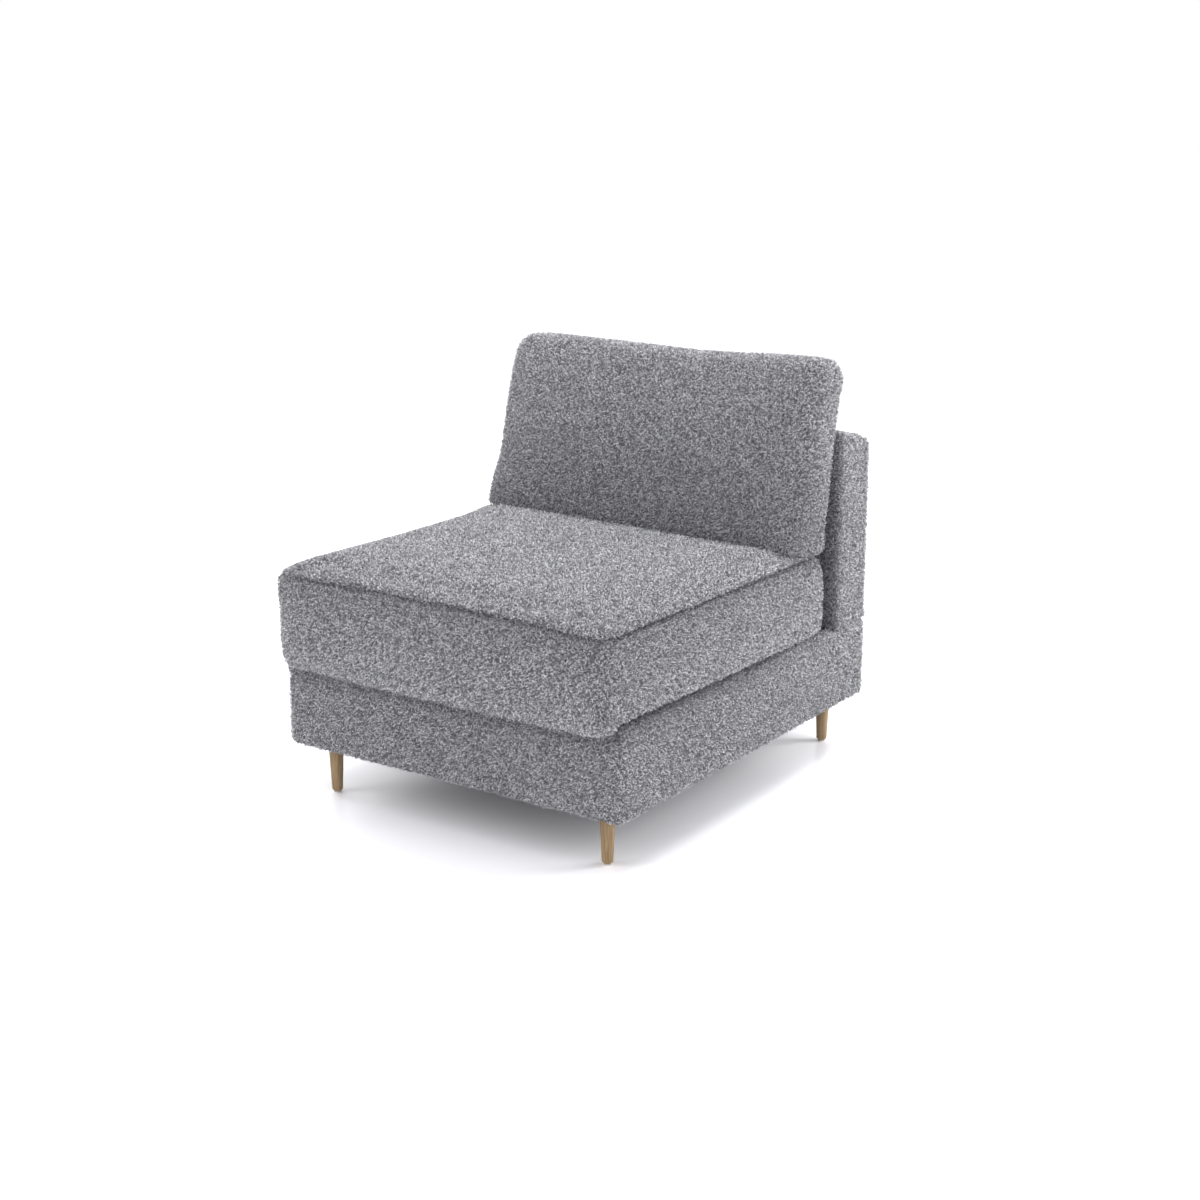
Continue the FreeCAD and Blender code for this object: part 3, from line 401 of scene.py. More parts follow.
YARN_DENSITY = 185000
PRESSED_DENSITY = 0.7
LEAST_PILE = 0.01
YARN_HALF = (0.0022, 0.0042)
YARN_RISE = (0.0010, 0.0060)
LOW_STAND = 0.35
PRESSED_STAND = 0.05
YARN_SINK = 0.0008
YARN_CURL = 0.0014
YARN_ROLL = 0.9
YARN_WIDTH = 0.00112
YARN_WIDTHS = (0.4, 1.0, 1.0, 0.4)
YARN_BEND = 0.4
YARN_SHADES = (0.04, 0.95)
LIGHTEST_SHADE = 0.97
SPOT_WIDTH = 0.004
SPOT_LEVELS = (0.0, 1.0, 0.94, 0.0)
SPOT_MARGIN = 0.02


def yarn_feet(piece, density, chance):
    """Random places on the piece: the corners of each one's quad, the place and the way out of the cover."""
    points = points_of(piece)
    normals = normals_of(piece)
    quads = quads_of(piece)
    first, second, third, fourth = (points[quads[:, corner]] for corner in range(4))
    areas = np.linalg.norm(np.cross(third - first, fourth - second), axis=1) / 2
    areas *= np.where(density[quads].min(axis=1) > LEAST_PILE, density[quads].mean(axis=1), 0)
    count = int(areas.sum() * YARN_DENSITY)
    face = chance.choice(len(quads), count, p=areas / areas.sum())
    u, v = chance.random((2, count, 1))
    corners = quads[face]
    shares = (1 - u) * (1 - v), u * (1 - v), u * v, (1 - u) * v
    foot = sum(points[corners[:, k]] * share for k, share in enumerate(shares))
    out = sum(normals[corners[:, k]] * share for k, share in enumerate(shares))
    out /= np.linalg.norm(out, axis=1)[:, None]
    return corners, foot, out


def yarn_ribbons(foot, out, full, chance):
    """Points of each loop's ribbon, along it and across. full is 1 where pile stands, 0 where pressed."""
    count = len(foot)
    along = np.cross(out, chance.normal(size=(count, 3)))
    along /= np.linalg.norm(along, axis=1)[:, None]
    aside = np.cross(out, along)
    half = chance.uniform(*YARN_HALF, (count, 1))
    low, high = YARN_RISE
    stand = np.where(full > LEAST_PILE, LOW_STAND + (1 - LOW_STAND) * full, PRESSED_STAND)
    rise = (low + (high - low) * chance.random((count, 1)) ** 2) * stand
    bend = chance.uniform(-1, 1, (count, 1)) * YARN_CURL
    roll = chance.uniform(-YARN_ROLL, YARN_ROLL, (count, 1))
    flat = aside * np.cos(roll) + out * np.sin(roll)
    spine = np.stack([foot - along * half - out * YARN_SINK,
                      foot - along * half * YARN_BEND + aside * bend + out * rise,
                      foot + along * half * YARN_BEND + aside * bend + out * rise,
                      foot + along * half - out * YARN_SINK], 1)
    width = np.array(YARN_WIDTHS)[None, :, None] * YARN_WIDTH / 2
    return np.stack([spine - flat[:, None] * width, spine + flat[:, None] * width], 2)


def yarn_spots(shade):
    """UVs of the ribbons: u is the loop's random shade times the cover's painted shade and light, v its
    height from foot to crest.
    """
    level = np.array(SPOT_LEVELS)
    low, high = level[:-1], level[1:]
    v = np.stack([low, low, high, high], 1)[None, :, :, None]
    u = np.array([0.0, SPOT_WIDTH, SPOT_WIDTH, 0.0])[None, None, :, None]
    v = v * (1 - 2 * SPOT_MARGIN) + SPOT_MARGIN
    return np.concatenate(np.broadcast_arrays(shade[:, None, None, None] + u, v), 3)


def add_yarn(piece, strength, density, painted_shading, seed):
    """Short curly loops of yarn over the cover, as a piece of its own. They lie flat where strength is 0."""
    chance = np.random.default_rng(seed)
    corners, foot, out = yarn_feet(piece, density, chance)
    ribbon = yarn_ribbons(foot, out, strength[corners].mean(axis=1)[:, None], chance)
    count, sections = ribbon.shape[:2]
    loop = np.arange(count)[:, None, None] * (2 * sections)
    step = np.arange(sections - 1)[None, :, None] * 2
    quads = (loop + step + np.array([0, 1, 3, 2])[None, None]).reshape(-1, 4)
    # Each loop's random shade, times the painted shade and light of the cover under it.
    shade = chance.uniform(*YARN_SHADES, count) * painted_shading[corners].mean(axis=1)
    spots = yarn_spots(np.minimum(shade, LIGHTEST_SHADE))
    yarn = make_mesh(piece.name + "_yarn", ribbon.reshape(-1, 3), quads, spots.reshape(-1, 2))
    yarn.data.materials.append(MATERIALS["yarn"])
    return yarn


# Materials


def new_material(name):
    material = bpy.data.materials.new(name)
    material.use_nodes = True
    tree = material.node_tree
    return material, tree, tree.nodes["Principled BSDF"]


def link(tree, source, target):
    tree.links.new(source, target)


def shader_node(tree, kind, **inputs):
    """New node with constant values on the named sockets. An underscore stands for a space in a name."""
    made = tree.nodes.new(kind)
    for key, value in inputs.items():
        made.inputs[key.replace("_", " ")].default_value = value
    return made


def math_node(tree, operation, *values):
    """Sum, product and the like of numbers and sockets."""
    made = tree.nodes.new("ShaderNodeMath")
    made.operation = operation
    for slot, value in enumerate(values):
        if isinstance(value, (int, float)):
            made.inputs[slot].default_value = value
        else:
            link(tree, value, made.inputs[slot])
    return made.outputs[0]


def weighted(tree, first, first_share, second, second_share):
    """Sum of two sockets, each times its share."""
    return math_node(tree, "ADD", math_node(tree, "MULTIPLY", first, first_share),
                     math_node(tree, "MULTIPLY", second, second_share))


def ramp(tree, source, stops):
    """Colour of source by stops, each a place from 0 to 1 and a colour."""
    made = tree.nodes.new("ShaderNodeValToRGB")
    elements = made.color_ramp.elements
    while len(elements) < len(stops):
        elements.new(0.5)
    for element, (place, colour) in zip(elements, stops):
        element.position = place
        element.color = (*colour, 1)
    link(tree, source, made.inputs["Fac"])
    return made.outputs["Color"]


def object_noise(tree, size, detail=2.0, distortion=0.0, stretch=None):
    """Noise in the piece's own coordinates, whose bumps are about size metres apart."""
    where = tree.nodes.new("ShaderNodeTexCoord").outputs["Object"]
    if stretch:
        mapping = tree.nodes.new("ShaderNodeMapping")
        mapping.inputs["Scale"].default_value = stretch
        link(tree, where, mapping.inputs["Vector"])
        where = mapping.outputs[0]
    made = shader_node(tree, "ShaderNodeTexNoise", Scale=1 / size, Detail=detail, Distortion=distortion)
    link(tree, where, made.inputs["Vector"])
    return made.outputs["Fac"]


def bump(tree, shader, height, distance, strength=1.0):
    made = shader_node(tree, "ShaderNodeBump", Strength=strength, Distance=distance)
    link(tree, height, made.inputs["Height"])
    link(tree, made.outputs[0], shader.inputs["Normal"])


def cloth_gloss(shader):
    shader.inputs["Roughness"].default_value = 0.92
    shader.inputs["Specular IOR Level"].default_value = 0.2
    shader.inputs["Sheen Weight"].default_value = 0.15
    shader.inputs["Sheen Roughness"].default_value = 0.6


def nubby_fabric():
    """The cover under the yarn: painted light on the pile's curls and on fine strands, painted shade in the
    gaps between them, plus the painted shade and light stored with the pile height.
    """
    material, tree, shader = new_material("nubby_fabric")
    pile = tree.nodes.new("ShaderNodeAttribute")
    pile.attribute_name = "pile"
    strand = object_noise(tree, size=0.0030, detail=1.5, distortion=1.0)
    ridge = math_node(tree, "ABSOLUTE", math_node(tree, "SUBTRACT", strand, 0.5))
    ridge = math_node(tree, "SUBTRACT", 1.0, math_node(tree, "MULTIPLY", ridge, 7.0))
    ridge = math_node(tree, "MAXIMUM", ridge, 0.0)
    # The same mix raises the bump, so the colour paints light on what stands up and shade in its hollows.
    mixed = weighted(tree, pile.outputs["Fac"], 0.35, ridge, 0.5)
    colour = ramp(tree, mixed, ((0.05, (0.060, 0.059, 0.064)), (0.45, (0.15, 0.149, 0.158)),
                                (1.0, (0.36, 0.36, 0.375))))
    link(tree, colour, shader.inputs["Base Color"])
    cloth_gloss(shader)
    bump(tree, shader, mixed, distance=0.0020, strength=0.7)
    return material


def yarn_material():
    """Loops of yarn: painted shade at the foot, where the loops shade one another, and painted light on the
    crest. Each loop also has a random shade of its own.
    """
    material, tree, shader = new_material("nubby_yarn")
    spot = tree.nodes.new("ShaderNodeUVMap")
    spot.uv_map = "OFBake"
    parts = tree.nodes.new("ShaderNodeSeparateXYZ")
    link(tree, spot.outputs[0], parts.inputs[0])
    # X carries each loop's random shade with the cover's painted shading; Y paints shade at the foot and
    # light on the crest.
    mixed = weighted(tree, parts.outputs["X"], 0.72, parts.outputs["Y"], 0.28)
    colour = ramp(tree, mixed, ((0.05, (0.050, 0.049, 0.054)), (0.5, (0.352, 0.35, 0.371)),
                                (0.95, (0.95, 0.95, 0.99))))
    link(tree, colour, shader.inputs["Base Color"])
    cloth_gloss(shader)
    return material


def wood(name, dark, light, roughness):
    """Wood whose grain and flecks run along the piece's own Z."""
    material, tree, shader = new_material(name)
    grain = object_noise(tree, size=0.010, detail=4.0, distortion=0.6, stretch=(2.6, 2.6, 0.16))
    fleck = object_noise(tree, size=0.0014, detail=2.0, stretch=(1.0, 1.0, 0.05))
    mixed = weighted(tree, grain, 0.75, fleck, 0.25)
    link(tree, ramp(tree, mixed, ((0.32, dark), (0.68, light))), shader.inputs["Base Color"])
    shader.inputs["Roughness"].default_value = roughness
    bump(tree, shader, mixed, distance=0.0004, strength=0.5)
    return material


def plain(name, dark, light, size, roughness, metallic=0.0, depth=0.0003):
    """Simple finish whose colour and surface vary a little."""
    material, tree, shader = new_material(name)
    speckle = object_noise(tree, size, detail=3.0)
    link(tree, ramp(tree, speckle, ((0.3, dark), (0.7, light))), shader.inputs["Base Color"])
    shader.inputs["Roughness"].default_value = roughness
    shader.inputs["Metallic"].default_value = metallic
    bump(tree, shader, speckle, depth)
    return material


MATERIALS = {
    "nubby_fabric": nubby_fabric(),
    "yarn": yarn_material(),
    "leg_wood": wood("leg_wood", (0.27, 0.175, 0.088), (0.50, 0.345, 0.185), 0.42),
    "frame_wood": wood("frame_wood", (0.42, 0.28, 0.14), (0.62, 0.46, 0.27), 0.7),
    "foam": plain("foam", (0.70, 0.64, 0.44), (0.80, 0.75, 0.58), 0.003, 0.95, depth=0.001),
    "fibre": plain("fibre", (0.78, 0.78, 0.76), (0.88, 0.88, 0.87), 0.012, 0.95, depth=0.003),
    "lining": plain("lining", (0.012, 0.012, 0.013), (0.030, 0.030, 0.032), 0.004, 0.85),
    "zip_tape": plain("zip_tape", (0.055, 0.053, 0.055), (0.085, 0.083, 0.086), 0.0015, 0.8),
    "steel": plain("steel", (0.45, 0.45, 0.46), (0.60, 0.60, 0.61), 0.008, 0.35, 1.0, 0.0001),
    "plastic": plain("plastic", (0.60, 0.59, 0.56), (0.68, 0.67, 0.64), 0.01, 0.5, depth=0.0001),
}


def finish_piece(piece, slot):
    piece.data.materials.clear()
    piece.data.materials.append(MATERIALS[slot])


for part in frame["record"]["subparts"]:
    shown = frame["nodes"][part["node"]]
    shown.data.materials.clear()
    shown.data.materials.append(MATERIALS[part["material_slot"]])

# Places in the frame. The deck is the base's top, which falls from front to rear

deck_front = 0.281
deck_rear = 0.266
base_low, base_high = (np.array(corner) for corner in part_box("base_cover"))
back_low, back_high = (np.array(corner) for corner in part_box("back_cover"))
base_front = base_low[1]
deck_slope = (deck_front - deck_rear) / (back_low[1] - base_front)
back_lean = math.radians(10.6)
pillow_foot = (0.0, 0.1960, 0.4549)

# Zips, each in a slot of its cover. A floor is how deep the slot goes

seat_zip_low, seat_zip_high = (np.array(corner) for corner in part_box("seat_zip_tape"))
seat_zip_height = (seat_zip_low[2] + seat_zip_high[2]) / 2
seat_zip_floor = seat_zip_low[1] - 0.001
seat_zip_above_deck = 0.080
pillow_zip_height = 0.069
pillow_zip_floor = 0.1025
slot_ends = (0.301, 0.307)
slot_lips = (0.0050, 0.0085)


def zip_slot(x, above):
    """1 in the opening that a zip shows through, 0 outside its lips."""
    return fade(*slot_ends, np.abs(x)) * fade(*slot_lips, np.abs(above))


def deck_height(y):
    return deck_front - deck_slope * np.clip(y - base_front, 0, back_low[1] - base_front)


def tilted(points, turn, origin):
    """Turn the points about X, rear end down, and move them to origin."""
    x, y, z = points.T
    cosine, sine = math.cos(turn), math.sin(turn)
    return np.stack([x + origin[0], y * cosine + z * sine + origin[1], z * cosine - y * sine + origin[2]], 1)


def finish_cover(piece, node, body, bare, pressed, painted_shading, seed):
    """Pile, yarn, fabric and frame. bare is 1 where no pile stands, pressed is 1 where it lies flat. The
    shading factor is painted shade and light for the pile and the yarn.
    """
    bare = np.maximum(bare, pressed)
    add_pile(piece, 1 - bare, painted_shading)
    yarn = add_yarn(piece, 1 - bare, np.where(pressed > 0, PRESSED_DENSITY, 1 - bare), painted_shading, seed)
    finish_piece(piece, "nubby_fabric")
    for each in (piece, yarn):
        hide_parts(node)
        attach(each, body)


def inner_layer(name, points, lattice, cells, factor, inset, slot, node, body, turned=False):
    """What lies inside a cover: the same form, drawn in by inset."""
    rough_cells = [count // factor for count in cells]
    rough, quads, spots = shell_grid(rough_cells)
    code = lattice_code(lattice)
    order = np.argsort(code)
    picked = points[order[np.searchsorted(code[order], lattice_code(rough) * factor)]]
    low, high = picked.min(axis=0), picked.max(axis=0)
    middle = (low + high) / 2
    picked = middle + (picked - middle) * (1 - 2 * inset / (high - low))
    if turned:
        quads, spots = turned_over(quads, spots)
    piece = make_mesh(name, picked, quads, spots)
    finish_piece(piece, slot)
    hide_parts(node)
    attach(piece, body)


# Seat cushion. Its own Y starts at the base's front and its own Z at the deck

SEAT_HALF_WIDTH = 0.380
SEAT_HALF_DEPTH = 0.3935
SEAT_OVERHANG = 0.045
SEAT_SEAM = 0.163
SEAT_LIP = 0.012
SEAT_CELL = 0.0042
SEAT_FACTOR = 2
SEAT_SWELL = 0.010
SEAT_CLEAR = 0.0008
SEAM_DRAW = 0.009
SEAM_BAND = 0.006
PILLOW_GAP = 0.0005
PILLOW_SPREAD = 0.004
WRAP_INSET = 0.012
CORE_INSET = 0.026
SEAT_FORM = Form(
    SEAT_HALF_WIDTH, SEAT_HALF_DEPTH, SEAT_SEAM,
    ((0.026, -SEAT_LIP), (0.015, -0.008), (0.006, 0.001), (0.002, 0.018), (0.0, 0.045), (0.0, 0.095),
     (0.004, 0.130), (0.011, 0.152), (0.021, SEAT_SEAM)),
    ((0.021, SEAT_SEAM), (0.013, 0.170), (0.0135, 0.178), (0.020, 0.184), (0.036, 0.188), (0.075, 0.191),
     (0.160, 0.193), (0.380, 0.194)),
    ((0.026, -SEAT_LIP), (0.380, -SEAT_LIP)),
    corner=0.036, bows=(0.003, 0.007), growth=-1.2)


def seat_held(points, away):
    """Sewn seam, underside and zip stay put."""
    y, z = points[:, 1], points[:, 2]
    seam = fade(0.0, 0.020, np.abs(z - SEAT_SEAM) + away * 0.5)
    foot = fade(0.0, 0.030, z)
    zipped = (y > 0.37) * fade(0.010, 0.030, np.abs(z - seat_zip_above_deck))
    return np.maximum(np.maximum(seam, foot), zipped)


def seat_unevenness(x, y, z, left):
    """Fuller left side, lower rear left crown, rounder front left corner, seam raised in mid-front."""
    x = x - 0.014 * left * smooth(0.095, 0.150, z) * fade(0.166, 0.192, z)
    x = x - 0.011 * left * fade(0.0, 0.018, np.abs(z - SEAT_SEAM))
    rear = smooth(-0.04, 0.40, y)
    rear = rear * (1 - 0.6 * smooth(0.55, 0.60, y))
    z = z - 0.009 * rear * smooth(0.08, 0.33, -x) * smooth(0.10, 0.19, z)
    corner = smooth(0.30, 0.38, -x) * smooth(0.07, -0.03, y) * smooth(0.158, 0.180, z)
    x = x + 0.016 * corner
    y = y + 0.008 * corner
    middle = np.maximum(1 - (x / 0.37) ** 2, 0) * smooth(0.06, -0.01, y)
    z = z + 0.010 * middle * smooth(0.09, 0.155, z) * fade(0.170, 0.194, z)
    return x, y, z


def seat_cushion():
    cells, lattice, quads, spots, points, away = swelled(
        SEAT_FORM, SEAT_CELL, SEAT_FACTOR, seat_held, SEAT_SWELL)
    points[:, 1] += SEAT_HALF_DEPTH - SEAT_OVERHANG
    x, y, z = points.T
    height = z
    left = smooth(0.26, 0.35, -x)
    x, y, z = seat_unevenness(x, y, z, left)

    # The sides are tucked in at the deck, and the sewn seam lies in a crease
    on_deck = smooth(-0.004, 0.016, y)
    tuck = (0.015 + 0.009 * fade(0.05, 0.30, y)) * on_deck * fade(0.0, 0.019, z) ** 2
    x = x * (1 - tuck / SEAT_HALF_WIDTH)
    top = lattice[:, 2] == cells[2]
    seam = top & (away < ON_EDGE)
    front = smooth(0.03, -0.02, y)
    inward = np.where(seam, SEAM_DRAW * (1 - 0.9 * left) * (1 - 0.5 * front), 0)
    x = x * (1 - inward / SEAT_HALF_WIDTH)
    y = y + np.where(seam & (y < -0.01), inward, 0)
    floor = np.where(y < -0.002, -SEAT_LIP, SEAT_CLEAR)
    z = np.where(z < 0.03, np.maximum(z, floor), z)
    points = tilted(np.stack([x, y, z], 1), math.atan(deck_slope), (0, base_front, deck_front))

    # The back cushion stands on its rear, and its zip lies in a slot of its rear side
    ceiling = pillow_foot[2] - (points[:, 1] - pillow_foot[1]) * math.tan(back_lean) - PILLOW_GAP
    over = smooth(0, 1, (points[:, 2] - ceiling) / PILLOW_SPREAD + 1)
    points[:, 2] = np.minimum(points[:, 2], ceiling)
    slot = (lattice[:, 1] == cells[1]) * zip_slot(points[:, 0], points[:, 2] - seat_zip_height)
    points[:, 1] -= slot * np.maximum(points[:, 1] - seat_zip_floor, 0)

    # Where the pile is pressed or missing
    behind_foot = points[:, 1] > pillow_foot[1]
    under = lattice[:, 2] == 0
    pressed = (under | (over > 0.5) & behind_foot) * 1.0
    near = top & (away < SEAM_BAND) | (lattice[:, 2] == cells[2] - 1)
    bare = np.maximum(over * behind_foot, slot > 0.02)
    bare = np.maximum(bare, np.where(seam, 1.0 - 0.3 * front, near * (0.45 - 0.2 * front)))
    bare = np.maximum(bare, on_deck * fade(0.002, 0.012, z))

    # Painted shade below the seam, in its crease, under the lip and in the crease at the deck. Painted light
    # low on the side, on its rolled lower edge, and on the crown towards the rear
    side = ~top
    painted_shading = 1 - 0.30 * side * np.exp(-np.maximum(SEAT_SEAM - height, 0) / 0.022)
    painted_shading = painted_shading * (1 - (0.35 - 0.15 * front) * (seam | near))
    painted_shading = painted_shading * (1 + 0.15 * np.exp(-((height - 0.005) / 0.012) ** 2) + 0.12 * smooth(0.12, 0.02, height))
    painted_shading = painted_shading * (1 - 0.6 * smooth(-0.0085, -0.0115, height))
    painted_shading = painted_shading * (1 - 0.45 * on_deck * side * smooth(0.008, 0.002, z))
    painted_shading = painted_shading * (1 + 0.12 * smooth(0.02, 0.17, points[:, 1]) * top)

    for name, inset, material, node in (("seat_wrap", WRAP_INSET, "fibre", "seat_cushion_wrap"),
                                        ("seat_core", CORE_INSET, "foam", "seat_cushion_core")):
        inner_layer(name, points, lattice, cells, SEAT_FACTOR, inset, material, node, "seat_cushion")
    piece = make_mesh("seat_cushion", points, quads, spots)
    finish_cover(piece, "seat_cushion_cover", "seat_cushion", bare, pressed, painted_shading, 3)


# Back cushion. Its form lies flat: across, up along the cushion, then front to rear

PILLOW_HALF_WIDTH = 0.379
PILLOW_HALF_HEIGHT = 0.192
PILLOW_PRESS = 0.022
PILLOW_HEIGHT = 0.362
PILLOW_THICKNESS = 0.110
PILLOW_CELL = 0.0036
PILLOW_FACTOR = 3
PILLOW_SWELL = 0.008
PILLOW_CLEAR = 0.0005
CASING_INSET = 0.010
FILL_INSET = 0.012
PILLOW_FORM = Form(
    PILLOW_HALF_WIDTH, PILLOW_HALF_HEIGHT, PILLOW_THICKNESS,
    ((0.010, 0.009), (0.002, 0.022), (0.0, 0.038), (0.0, 0.078), (0.005, 0.096), (0.014, 0.1055)),
    ((0.014, 0.1055), (0.030, 0.110), (0.192, 0.110)),
    ((0.010, 0.009), (0.022, 0.001), (0.044, -0.006), (0.092, -0.0144), (0.150, -0.020), (0.192, -0.021)),
    corner=0.038, bows=(0.008, 0.004))


def pillow_held(points, away):
    """Front seam, foot and rear panel stay put."""
    up, thick = points[:, 1], points[:, 2]
    sewn = fade(0.0, 0.016, np.abs(thick - 0.009) + away * 0.5)
    foot = fade(0.0, 0.04, up + PILLOW_HALF_HEIGHT)
    rear = smooth(0.095, 0.105, thick)
    return np.maximum(np.maximum(sewn, foot), rear)


def pillow_unevenness(x, y, z):
    """Sides slant to the right, the upper right corner stands up, the foot lies to the right and forward."""
    share = np.clip(z / PILLOW_HEIGHT, 0, 1)
    left = smooth(0.05, 0.378, -x)
    right = smooth(0.05, 0.378, x)
    x = x + 0.014 * share ** 1.3 + 0.016 * left * smooth(0.0, 0.45, share)
    x = x - 0.010 * right * smooth(0.1, 0.6, share) * fade(0.78, 1.0, share)
    z = z + 0.016 * share ** 2 * smooth(0.05, 0.38, x) - 0.003 * share ** 2 * (1 - (x / 0.38) ** 2)
    foot = fade(0.0, 0.055, z)
    x = x + np.where(x > 0, 0.010, 0.005) * smooth(0.30, 0.36, np.abs(x)) * foot
    x = x + 0.006 * smooth(0.28, 0.38, -x) * smooth(0.0, 0.04, z) * smooth(0.18, 0.06, z)
    y = y - 0.004 * fade(0.0, 0.13, z) * fade(0.02, 0.07, y)
    z = z - 0.014 * smooth(0.33, 0.37, -x) * foot
    y = y - 0.014 * fade(0.0, 0.13, z) * fade(0.02, 0.07, y)
    return x, y, z


def back_cushion():
    cells, lattice, quads, spots, points, _ = swelled(
        PILLOW_FORM, PILLOW_CELL, PILLOW_FACTOR, pillow_held, PILLOW_SWELL)
    x, z, y = points.T
    x, y, z = pillow_unevenness(x, y, z + PILLOW_HALF_HEIGHT - PILLOW_PRESS)
    z = np.maximum(z, PILLOW_CLEAR)
    y = np.minimum(y, PILLOW_THICKNESS)
    slot = (lattice[:, 2] == cells[2]) * zip_slot(x, z - pillow_zip_height)
    y = y - slot * np.maximum(y - pillow_zip_floor, 0)
    pressed = (z < 0.0012) * 1.0
    bare = (slot > 0.02) * 1.0
    # Painted shade, darker towards the foot, where the seat shades the cushion.
    painted_shading = 1 - 0.23 * smooth(0.24, 0.02, z)
    points = tilted(np.stack([x, y, z], 1), back_lean, pillow_foot)
    for name, inset, material, node in (("back_casing", CASING_INSET, "lining", "back_cushion_casing"),
                                        ("back_fill", FILL_INSET, "fibre", "back_cushion_fill")):
        inner_layer(name, points, lattice, cells, PILLOW_FACTOR, inset, material, node, "back_cushion", True)
    piece = make_mesh("back_cushion", points, *turned_over(quads, spots))
    finish_cover(piece, "back_cushion_cover", "back_cushion", bare, pressed, painted_shading, 4)


# Upholstered base

BASE_CELL = 0.0046
BASE_CORNER = 0.012
BASE_TOP_EDGE = 0.010
BASE_LOW_EDGE = 0.005
BASE_HALF = 0.381
BASE_HEM = 0.030
DECK_EDGE = 0.009


def base():
    """The base's cover: open below but for its hem, pressed under the cushion, bare under the back."""
    half_depth = (base_high[1] - base_front) / 2
    wall = deck_front - base_low[2]
    form = Form(
        base_high[0], half_depth, wall,
        ((BASE_LOW_EDGE, 0.0), (0.0012, 0.0012), (0.0, BASE_LOW_EDGE), (0.0, wall - BASE_TOP_EDGE),
         (0.0028, wall - 0.0028), (BASE_TOP_EDGE, wall)),
        ((BASE_TOP_EDGE, wall), (BASE_HALF, wall)),
        ((BASE_LOW_EDGE, 0.0), (BASE_HALF, 0.0)),
        BASE_CORNER, growth=0.0)
    cells = form.cells(BASE_CELL, 1)
    lattice, quads, spots = shell_grid(cells)
    points, away = form.place(lattice, cells)
    x, y, z = points.T
    y = y + base_front + half_depth
    z = base_low[2] + z * (deck_height(y) - base_low[2]) / wall
    below = lattice[:, 2] == 0
    top = lattice[:, 2] == cells[2]
    bare = top & (y > back_low[1]) & (y < back_high[1]) & (away > DECK_EDGE)
    pressed = (top & (away > DECK_EDGE) | top & (y > back_low[1] - 0.004) | below) * 1.0
    pressed = pressed * ~bare

    # Painted shade below the cushion's lip and along the deck, where the cushion shades the base
    below_lip = np.maximum(deck_front - SEAT_LIP - z, 0)
    below_deck = np.maximum(deck_height(y) - z, 0)
    painted_shading = 1 - 0.45 * np.exp(-below_lip / 0.012) * (y < base_front + 0.004)
    painted_shading = painted_shading * (1 - 0.55 * np.exp(-below_deck / 0.015) * smooth(0.30, -0.05, y) * (away < 0.03))

    inside_hem = below & (away > BASE_HEM)
    keep = ~inside_hem[quads].any(axis=1)
    spots = spots.reshape(-1, 4, 2)[keep].reshape(-1, 2)
    used, quads = np.unique(quads[keep], return_inverse=True)
    piece = make_mesh("base", np.stack([x, y, z], 1)[used], quads.reshape(-1, 4), spots)
    finish_cover(piece, "base_cover", "frame", bare[used] * 1.0, pressed[used], painted_shading[used], 5)


# Upholstered back

BACK_HEIGHT = 0.401
BACK_FALL = 0.030
BACK_EDGE = 0.012
BACK_CORNER = 0.010
BACK_REAR_ROUNDING = 0.032
BACK_CELL = 0.0036


def back():
    """The back's cover: its section in depth and height, swept across the sofa."""
    half_depth = (back_high[1] - back_low[1]) / 2
    half_height = BACK_HEIGHT / 2
    width = 2 * back_high[0]
    form = Form(
        half_depth, half_height, width,
        ((BACK_EDGE, 0.0), (0.003, 0.003), (0.0, BACK_EDGE), (0.0, width - BACK_EDGE),
         (0.003, width - 0.003), (BACK_EDGE, width)),
        ((BACK_EDGE, width), (half_depth, width)),
        ((BACK_EDGE, 0.0), (half_depth, 0.0)),
        BACK_CORNER, growth=0.0)
    cells = form.cells(BACK_CELL, 1)
    lattice, quads, spots = shell_grid(cells)
    points = form.place(lattice, cells)[0]
    y, z, x = points.T

    # Rounded at the top of its rear, spread at its foot
    inner_y = half_depth - BACK_REAR_ROUNDING
    inner_z = half_height - BACK_REAR_ROUNDING
    over_y = y - inner_y
    over_z = z - inner_z
    turn = (over_y > 0) & (over_z > 0)
    length = np.maximum(np.hypot(over_y, over_z), TINY)
    reach = np.minimum(length, BACK_REAR_ROUNDING) / length
    y = np.where(turn, inner_y + over_y * reach, y)
    z = np.where(turn, inner_z + over_z * reach, z)
    low = smooth(0.02, 0.0, z + half_height)
    y = np.clip(y * (1 + low * 0.14), -half_depth, half_depth)
    x = np.clip(back_high[0] + (x - back_high[0]) * (1 + low * 0.020), 0.0, width)

    drop = BACK_FALL * (y + half_depth) / (2 * half_depth)
    z = (z + half_height) * (BACK_HEIGHT - drop) / BACK_HEIGHT + back_low[2]
    y = y + back_low[1] + half_depth
    x = x - back_high[0]
    bare = (z < back_low[2] + 0.002) * 1.0
    # Painted shade on the front face, where the back cushion shades it.
    painted_shading = 1 - 0.40 * smooth(back_low[1] + 0.016, back_low[1] + 0.002, y)
    piece = make_mesh("back", np.stack([x, y, z], 1), quads, spots)
    finish_cover(piece, "back_cover", "frame", bare, np.zeros(len(x)), painted_shading, 6)


# Floor, light and camera

FLOOR_HALF = 12.0
FLOOR_COLOUR = (0.95, 0.95, 0.96, 1)
FLOOR_LIFT = (0.42, 0.42, 0.46, 1)
WORLD_STRENGTH = 0.79
WHITE = (1, 1, 1, 1)
CAMERA_PLACE = (2.4644, -3.5230, 1.6306)
CAMERA_YAW = 0.6007
CAMERA_PITCH = 0.2892


